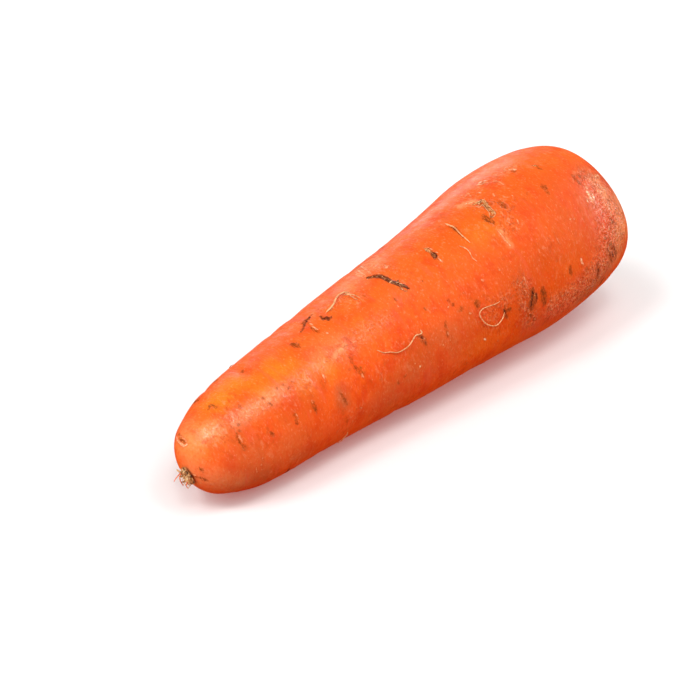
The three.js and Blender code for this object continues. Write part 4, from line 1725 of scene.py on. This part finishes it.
@dataclass
class SideRootlets:
    """Hair-thin side roots that lie on the skin."""

    skin: Skin
    sides: int = 7  # sides of a thread's section
    seeded: int = 9  # how many grow on the sides that the camera doesn't see
    seeded_stations: Span = (14.0, 150.0)  # first and last station of those
    seeded_length: Span = (5.0, 15.0)  # their least and most length
    seeded_radius: Span = (0.14, 0.22)  # their least and most radius
    seeded_lift: Span = (0.1, 0.4)  # how far their middles stand off the skin, at least and at most
    seed: int = 23

    def lay(
        self, heap: MeshHeap, path: np.ndarray, radius: float, lift: float, tone: float
    ) -> None:
        """Lay one thread on the skin.

        Args:
            heap: Where it is gathered.
            path: Points on the skin that it follows, from its foot.
            radius: Its radius at the foot.
            lift: How far its middle stands off the skin.
            tone: Its tone.
        """
        curve = smooth_path(path, 3)
        share = np.linspace(0, 1, len(curve))
        raised = np.empty_like(curve)
        for i, point in enumerate(curve):
            hit, out = self.skin.tree.find_nearest(Vector(point))[:2]
            off = radius * 0.7 + lift * math.sin(math.pi * share[i]) ** 2
            upward = np.array(out)
            if np.dot(upward, self.outward(point)) < 0:
                upward = -upward
            raised[i] = np.array(hit) + upward * off
        radii = radius * (0.5 + 0.5 * (1 - share) ** 0.6) * np.minimum(1, share * 12 + 0.3)
        heap.add_thread(raised, radii, self.sides, tone)

    def outward(self, point: np.ndarray) -> np.ndarray:
        """Return the vector from the root's axis to a point near the skin."""
        form, off = self.skin.form, point - self.skin.shift
        return off - form.axis(min(max(off[0] / math.cos(form.lie_tilt), 4.0), form.floor))

    def build(self, material: Material) -> None:
        """Make the piece of all side rootlets.

        Args:
            material: Its finish.
        """
        heap = MeshHeap()
        for rootlet in ROOTLETS.values():
            path = self.skin.trace(rootlet.route, 9)
            self.lay(heap, path, rootlet.radius, rootlet.lift, 0.8)
        source = Seeded(self.seed)
        grown = 0
        while grown < self.seeded:
            station, angle = source.between(*self.seeded_stations), source.between(0, 2 * math.pi)
            length, slant = source.between(*self.seeded_length), source.between(-5, 5)
            path = self.skin.arc(station, angle, length, slant)
            if self.skin.seen(path) or path[:, 2].min() < 2:
                continue
            path[:, 0] += [source.between(-1, 1) for _ in path]
            radius, lift = source.between(*self.seeded_radius), source.between(*self.seeded_lift)
            self.lay(heap, path, radius, lift, source.between(0.5, 0.9))
            grown += 1
        heap.piece("side_rootlets", material, "rootlet")


@dataclass
class DryFlakes:
    """Small dry crumbs of skin, caught on the scars and stains."""

    skin: Skin
    marks: tuple[str, ...] = (  # names of the marks that catch them
        "gash", "gash_end_crumb", "round_lenticel", "round_lenticel_flap",
        "crest_scab", "wisp_lip",
    )
    per_millimetre: float = 1.5  # flakes for each millimetre of a scar's length
    spread: float = 1.25  # how far a flake may lie from the middle of its scar, in half widths
    length: Span = (0.35, 1.15)  # least and most length of a flake
    breadth: Span = (0.16, 0.34)  # a flake's half breadth as a share of its length
    tilt: float = 0.35  # how steeply a flake may stand
    # Its breadth at five points from foot to tip, as a share of its widest.
    leaf_shape: tuple[float, ...] = (0.5, 0.9, 1.0, 0.8, 0.35)
    flat: float = 0.25  # its thickness as a share of its breadth
    seed: int = 41

    def scatter(self, heap: MeshHeap, source: Seeded, path: np.ndarray, half_width: float) -> None:
        """Scatter flakes along a scar.

        Args:
            heap: Where they are gathered.
            source: Chooses their places.
            path: Points of the scar's middle line.
            half_width: Half the scar's width.
        """
        for _ in range(max(2, round(walked(path)[-1] * self.per_millimetre))):
            at = source.next() * (len(path) - 1)
            start, end = path[int(at)], path[min(int(at) + 1, len(path) - 1)]
            aside = source.triple() * half_width * self.spread
            found = self.skin.tree.find_nearest(Vector(start + (end - start) * (at % 1) + aside))
            hit, out = np.array(found[0]), np.array(found[1])
            if np.dot(out, hit - self.skin.points.reshape(-1, 3).mean(0)) < 0 and abs(out[0]) < 0.6:
                out = -out
            way = source.triple()
            way -= out * np.dot(way, out)
            way = way / np.linalg.norm(way) + out * source.between(0, self.tilt)
            length = source.between(*self.length)
            bend = out * source.between(0.02, 0.14)
            middle = hit + out * 0.06 + way * length * 0.5 + bend
            tip = hit + out * 0.05 + way * length
            line = smooth_path(np.array([hit + out * 0.03, middle, tip]), 2)
            radii = length * source.between(*self.breadth) * np.array(self.leaf_shape)
            heap.add_thread(line, radii, 6, source.between(0.1, 1.0), self.flat)

    def build(self, material: Material) -> None:
        """Make the piece of all flakes.

        Args:
            material: Its finish.
        """
        source = Seeded(self.seed)
        heap = MeshHeap()
        for mark in (MARKS[name] for name in self.marks):
            self.scatter(heap, source, self.skin.trace(mark.route), mark.half_width)
        heap.piece("dry_flakes", material, "rootlet")


@dataclass
class LeafStalks:
    """The cut leaf stalks: a middle stub and a ring of broader ones, in the hollow."""

    form: RootForm
    shift: np.ndarray  # how far the whole carrot is moved to centre it
    core_radius: float = 4.4  # radius of the middle stub
    core_height: float = 9.4  # height of the middle stub
    count: int = 5  # stubs of the ring
    ring: float = 4.8  # distance of the ring's stubs from the middle
    radius: Span = (3.1, 3.6)  # least and most radius of a stub
    height: Span = (5.6, 8.8)  # least and most height of a stub
    across: float = 0.9  # a stub's breadth across the ring, as a share of its radius
    around: float = 1.35  # its breadth round the ring, as a share of its radius
    seed: int = 7
    sides: int = 72  # vertices of a ring of a stub's skin
    rows: int = 44  # rings of a stub's skin

    def stub(
        self, heap: MeshHeap, radius: float, height: float, breadth: tuple[float, float],
        offset: float, angle: float, phase: float,
    ) -> None:
        """Add one stub, upright along +X.

        Args:
            heap: Where it is gathered.
            radius: Its radius.
            height: Its height.
            breadth: Its scale across the ring and round it.
            offset: Its distance from the middle.
            angle: Its angle round the middle.
            phase: Turns its ribs and dents.
        """
        profile = smooth_path(np.array([
            (radius * 0.86, 0), (radius, height * 0.45), (radius * 0.93, height * 0.8),
            (radius * 0.6, height * 0.97), (radius * 0.25, height * 0.985), (0.02, height * 0.96),
        ]), 9)
        reached = walked(profile)
        along = np.linspace(0, reached[-1], self.rows)
        out, high = (np.interp(along, reached, profile[:, i])[:, None] for i in (0, 1))
        turn = turns(self.sides)[None, :]
        ribs = 0.035 * np.cos(7 * turn + phase) + 0.03 * np.cos(13 * turn + 2 * phase)
        ribs = ribs + 0.02 * np.cos(4 * turn + 3 * high / radius + phase)
        out_share = out / radius
        wobble = 1 + ribs * smoothstep(0.3, 0.9, out_share)
        share = high / height
        dish = 0.35 * np.exp(-((out - radius * 0.36) / 0.45) ** 2) * smoothstep(0.7, 0.9, share)
        high = high - dish + 0.25 * out_share * np.cos(2 * turn + phase) * smoothstep(0.5, 1, share)
        side = out * wobble * np.cos(turn) * breadth[1]
        deep = out * wobble * np.sin(turn) * breadth[0] + offset
        place = np.stack([
            high,
            -(deep * math.sin(angle) - side * math.cos(angle)),
            deep * math.cos(angle) + side * math.sin(angle),
        ], axis=-1).reshape(-1, 3)
        share = high / height
        ring = np.exp(-((out - radius * 0.36) / 0.32) ** 2) * smoothstep(0.82, 0.95, share)
        tone = 0.5 * smoothstep(0.02, 0.55, share) + (0.5 if offset == 0 else 0.12) * ring
        heap.add(place, grid_faces(self.rows, self.sides, inward=True), tone.ravel())

    def build(self, material: Material) -> None:
        """Make the rosette's piece, which stands for the solid.

        Args:
            material: Its finish.
        """
        source = Seeded(self.seed)
        heap = MeshHeap()
        self.stub(heap, self.core_radius, self.core_height, (1, 1), 0, 0, 0.4)
        for i in range(self.count):
            angle = 2 * math.pi * (i + 0.35 * source.next()) / self.count
            radius = source.between(*self.radius)
            height = source.between(*self.height)
            self.stub(heap, radius, height, (self.across, self.around), self.ring, angle, i * 1.7)
        heap.move(self.form.crown_matrix(self.shift))
        piece = heap.piece("cut_leaf_stalks", material, "cut_leaf_stalk")
        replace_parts(piece, "leaf_stalk_stubs")


@dataclass
class DryLeafBases:
    """The dried remains of older leaves: torn scales and a mat of dark fibres."""

    form: RootForm
    shift: np.ndarray  # how far the whole carrot is moved to centre it
    inner: float = 8.4  # radius of the ring that they grow from
    floor: float = 1.8  # height of that ring over the hollow's floor
    scales: int = 44  # how many torn scales
    wall_scales: int = 130  # how many torn strips lie against the hollow's wall
    fibres: int = 420  # how many fibres stand among them
    strays: int = 8  # how many pale fibres cross the rim
    seed: int = 31

    def build(self, material: Material) -> None:
        """Make the piece of all dried leaf bases, which stands for the solid.

        Args:
            material: Its finish.
        """
        source = Seeded(self.seed)
        heap = MeshHeap()
        for i in range(self.scales):
            angle = 2 * math.pi * (i + 0.8 * source.next()) / self.scales
            length = source.between(2.6, 5.6)
            lean = source.between(0.3, 0.75)
            twist = source.between(-0.25, 0.25)
            middle, tip = 0.7 + length * lean * 0.35, 0.6 + length * lean * 0.7
            path = smooth_path(np.array([
                spot(angle, self.inner + 0.5, 0.7),
                spot(angle + twist * 0.3, self.inner + middle, self.floor + length * 0.4),
                spot(angle + twist, self.inner + tip, self.floor + length),
            ]), 5)
            share = np.linspace(0, 1, len(path))
            radii = source.between(0.6, 1.15) * (1 - 0.75 * share ** 1.5)
            heap.add_thread(path, radii, 8, source.between(0.05, 0.75), 0.3)
        wall = self.form.mouth_radius
        for _ in range(self.wall_scales):
            angle = source.between(0, 2 * math.pi)
            twist = source.between(-0.25, 0.25)
            off = source.between(0.0, 0.9)
            top = source.between(-2.4, 0.7)
            heap.add_strand((
                spot(angle, wall - 3.6 - off, 1.2),
                spot(angle + twist, wall - 2.3 - off, 3.4),
                spot(angle + 2 * twist, wall + 0.2 - off, self.form.hollow_depth - 0.9 + top),
            ), 4, source.between(0.25, 0.8), 0.35, 6, source.next() ** 2 * 0.85, 0.4)
        for _ in range(self.fibres):
            angle = source.between(0, 2 * math.pi)
            start = self.inner + source.between(-0.6, 2.0)
            length = source.between(1.6, 5.4)
            swing = source.between(-1.1, 1.1)
            out = source.between(0.0, 0.55)
            heap.add_strand((
                spot(angle, start, self.floor - 0.8),
                spot(angle + swing * 0.4, start + out * length * 0.5, self.floor + length * 0.45),
                spot(angle + swing, start + out * length, self.floor + length * 0.85),
            ), 4, source.between(0.07, 0.17), 0.4, 5, source.next() ** 3 * 0.9)
        for _ in range(self.strays):
            angle = source.between(0, 2 * math.pi)
            reach = source.between(4, 7.5)
            swing = source.between(-0.9, 0.9)
            top = self.form.hollow_depth
            heap.add_strand((
                spot(angle, self.inner + 1.5, self.floor + 2),
                spot(angle + swing * 0.5, self.inner + reach * 0.6, top + 0.6),
                spot(angle + swing, self.inner + reach, top + source.between(0.0, 1.2)),
            ), 5, source.between(0.1, 0.3), 0.5, 5, source.between(0.75, 1.0), 0.5)
        heap.move(self.form.crown_matrix(self.shift))
        piece = heap.piece("dried_leaf_bases", material, "dry_leaf_fibre")
        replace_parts(piece, "dry_leaf_bases")


@dataclass
class TailTuft:
    """The scar at the tail, with its broken rootlets."""

    form: RootForm
    shift: np.ndarray  # how far the whole carrot is moved to centre it
    scar_radius: float = 2.9  # radius of the scar's pad
    thickness: float = 0.8  # its thickness
    drop: float = 2.2  # how far it lies under the axis
    rootlets: int = 9  # thick rootlets, broken off short
    stump_radius: float = 0.34  # a thick rootlet's radius
    stump_length: Span = (0.5, 1.3)  # its least and most length
    fibres: int = 15  # fine dry fibres among them
    fibre_radius: Span = (0.1, 0.2)  # a fibre's least and most radius
    fibre_length: Span = (0.8, 2.3)  # its least and most length
    # Fresh strands, as points outward, towards +Y and upward from the pad's middle.
    strands: tuple[tuple[tuple[float, float, float], ...], ...] = (
        ((0.4, 2.4, 0.2), (1.2, 2.6, -0.5), (2.3, 2.8, -1.3), (2.8, 2.9, -2.0)),
        ((0.4, 2.2, 0.0), (1.2, 2.1, -1.1), (1.2, 1.9, -2.7), (0.8, 1.6, -4.2)),
        ((0.6, -0.4, -1.6), (1.2, -0.6, -2.6), (1.1, -0.9, -3.4)),
    )
    strand_radius: float = 0.22  # a fresh strand's radius at its foot
    pad_rows: int = 18  # rings of the pad
    pad_sides: int = 64  # vertices of a ring
    seed: int = 11

    def pad(self, heap: MeshHeap) -> None:
        """Add the scar's low pad, dented where rootlets broke off.

        Args:
            heap: Where it is gathered.
        """
        share = np.linspace(0, 1, self.pad_rows)[:, None]
        turn = turns(self.pad_sides)[None, :]
        lobes = 1 + 0.12 * np.cos(3 * turn + 0.5) + 0.07 * np.cos(7 * turn)
        out = self.scar_radius * share * lobes
        dents = np.cos(out * 2.9 + 2 * turn) * np.sin(3 * turn + out * 2.1) + 0.4 * np.cos(9 * turn)
        high = self.thickness * (1 - share ** 2.2) * (0.7 + 0.3 * dents)
        place = np.stack([-high, -out * np.sin(turn), out * np.cos(turn)], axis=-1).reshape(-1, 3)
        # Darker in the dents and paler on the rises: the broken rootlets' holes, with painted shade
        # in the dents.
        tone = np.clip(0.52 + 0.5 * dents, 0.05, 0.98)
        heap.add(place, grid_faces(self.pad_rows, self.pad_sides), tone.ravel())

    def tuft(self) -> MeshHeap:
        """Gather the dry tuft.

        Returns:
            The pad with its stumps and fibres.
        """
        source = Seeded(self.seed)
        heap = MeshHeap()
        self.pad(heap)
        for i in range(self.rootlets):
            angle = 2 * math.pi * (i + 0.6 * source.next()) / self.rootlets
            length = source.between(*self.stump_length)
            start = self.scar_radius * source.between(0.3, 0.8)
            heap.add_strand((
                spot(angle, start, -0.2),
                spot(angle, start + length * 0.4, -0.8),
                spot(angle + 0.15, start + length, -0.8 - length * 0.3),
            ), 5, self.stump_radius, 0.6, 8, source.between(0.3, 0.8))
        for _ in range(self.fibres):
            angle = source.between(0, 2 * math.pi)
            start = self.scar_radius * source.between(0.1, 0.9)
            length = source.between(*self.fibre_length)
            swing = source.between(-0.5, 0.5)
            heap.add_strand((
                spot(angle, start, -0.1),
                spot(angle + swing * 0.5, start + length * 0.35, -0.7 - 0.1 * length),
                spot(
                    angle + swing, start + length * 0.8,
                    -0.8 - source.between(-0.1, 0.4) * length,
                ),
            ), 4, source.between(*self.fibre_radius), 0.6, 6, source.between(0.7, 1.0))
        return heap

    def fresh(self) -> MeshHeap:
        """Gather the fresh strands.

        Returns:
            Their threads.
        """
        heap = MeshHeap()
        for points in self.strands:
            spots = [(-out, side, high) for out, side, high in points]
            heap.add_strand(spots, 5, self.strand_radius, 0.45, 8, 0.6)
        return heap

    def build(self, dry: Material, fresh: Material) -> None:
        """Make the tuft's two pieces, which stand for the solid.

        Args:
            dry: The finish of the pad, the stumps and the fibres.
            fresh: The finish of the fresh strands.
        """
        foot = self.form.organ_matrix(-self.form.gap, self.shift)
        moved = foot @ Matrix.Translation((0, 0, -self.drop))
        parts = (("tail_tuft", self.tuft(), dry), ("tail_strands", self.fresh(), fresh))
        for name, heap, material in parts:
            heap.move(moved)
            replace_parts(heap.piece(name, material, "rootlet"), "tail_rootlets")


@dataclass(frozen=True)
class Softbox:
    """A round soft light far away, as a bright patch of the dome."""

    azimuth: float  # its direction in degrees, from -Y towards +X
    elevation: float  # its height over the horizon in degrees
    inner: float  # half of its fully bright part's angle, in degrees
    outer: float  # half of the angle at which it has faded out, in degrees
    strength: float  # its brightness beside that of a white dome


SOFTBOXES: dict[str, Softbox] = {  # by what each lights
    "ridge": Softbox(38, 64, 5, 12, 7.0),
    "overhead": Softbox(-26, 74, 5, 12, 8.0),
    "tip": Softbox(-106, 58, 4, 11, 13.0),
    "shoulder": Softbox(66, 24, 5, 14, 9.5),
    "shoulder_low": Softbox(57, -4, 8, 22, 5.0),
    "white_sweep": Softbox(148, 7, 6, 17, 5.5),
    "front_fill": Softbox(-35, 6, 20, 75, 0.35),
    "left_fill": Softbox(-115, 12, 15, 60, 1.35),
    "floor_bounce": Softbox(-60, -22, 15, 60, 0.85),
}


@dataclass
class Studio:
    """The plain pale floor, the dome with its soft lights, and the camera."""

    eye: Eye
    floor_side: float = 60.0  # the floor's side in metres
    dome_strength: float = 0.345  # brightness over the horizon, apart from the softboxes
    ground: str = "#C8602E"  # the dim warm light that comes back up from below
    horizon: Span = (-0.3, 0.25)  # where that turns to white, as heights on a dome of radius 1

    def raise_dome(self) -> None:
        """Surround the carrot with a dome, dim below and with bright soft patches above."""
        world = bpy.data.worlds.new("studio_dome")
        world.use_nodes = True
        tree = world.node_tree
        node, white = partial(add_node, tree), linear("#FFFFFF")
        way = node(Kind.DIRECTION)
        strength: Any = self.dome_strength
        for box in SOFTBOXES.values():
            near = node(Kind.ALIKE, way, towards(box.azimuth, box.elevation))
            edge, full = (math.cos(math.radians(half)) for half in (box.outer, box.inner))
            lit = node(Kind.RAMP, near, edge, full, 0, box.strength)
            strength = node(Kind.ADD, strength, lit)
        rise = node(Kind.RAMP, node(Kind.UPWARD, way), *self.horizon)
        light = node(Kind.BLEND, rise, linear(self.ground), white)
        seen, sky = node(Kind.CAMERA_RAY), tree.nodes["Background"]
        feed(tree, sky.inputs["Color"], node(Kind.BLEND, seen, light, white))
        feed(tree, sky.inputs["Strength"], node(Kind.CHOOSE, seen, strength, 1.0))
        bpy.context.scene.world = world

    def lay_floor(self) -> None:
        """Add the floor, which throws no light back up at the carrot."""
        half = self.floor_side / 2
        mesh = bpy.data.meshes.new("floor")
        corners = [(-half, -half, 0), (half, -half, 0), (half, half, 0), (-half, half, 0)]
        mesh.from_pydata(corners, [], [(0, 1, 2, 3)])
        mesh.materials.append(PaintedBoard(Recipe("painted_board_matt", 0.0)).build())
        floor = bpy.data.objects.new("floor", mesh)
        floor.visible_diffuse = floor.visible_glossy = False
        bpy.context.scene.collection.objects.link(floor)

    def build(self) -> None:
        """Set the whole studio."""
        scene = bpy.context.scene
        scene.view_settings.view_transform = "Standard"
        self.raise_dome()
        self.lay_floor()
        data = bpy.data.cameras.new("camera")
        data.lens, data.sensor_width = self.eye.lens, SENSOR_WIDTH
        camera = bpy.data.objects.new("camera", data)
        right, up, back = self.eye.axes()
        turned = Matrix((right, up, back)).transposed().to_4x4()
        camera.matrix_world = Matrix.Translation(Vector(self.eye.place()) * MM) @ turned
        scene.collection.objects.link(camera)
        scene.camera = camera


def main() -> None:
    """Build the studio and the carrot, piece by piece."""
    logging.basicConfig(level=logging.INFO, format="%(name)s %(message)s")
    eye, form = Eye(), RootForm()
    Studio(eye).build()
    root, recipe = Taproot(form, eye), partial(Recipe, tilt=form.lie_tilt)
    root.build(RawCarrotSkin(recipe("raw_carrot_skin_washed")).build())
    straw = DriedFibre(recipe("rootlet_dried"), "#4A1E0A", "#B8662E", "#F4BE86").build()
    fresh = DriedFibre(recipe("rootlet_fresh"), "#A84A18", "#E8763C", "#FFB888", 0.5).build()
    scar = DriedFibre(recipe("tail_scar_dried"), "#3C200E", "#B0763C", "#F2D6A0").build()
    fibre = DriedFibre(recipe("leaf_base_fibre_dried"), "#120A06", "#5A3A22", "#E2C898").build()
    SideRootlets(root.skin).build(straw)
    DryFlakes(root.skin).build(straw)
    LeafStalks(form, root.skin.shift).build(CutLeafStalk(recipe("cut_leaf_stalk_dried")).build())
    DryLeafBases(form, root.skin.shift).build(fibre)
    TailTuft(form, root.skin.shift).build(scar, fresh)
    bpy.context.view_layer.update()


if __name__ == "__main__":
    main()
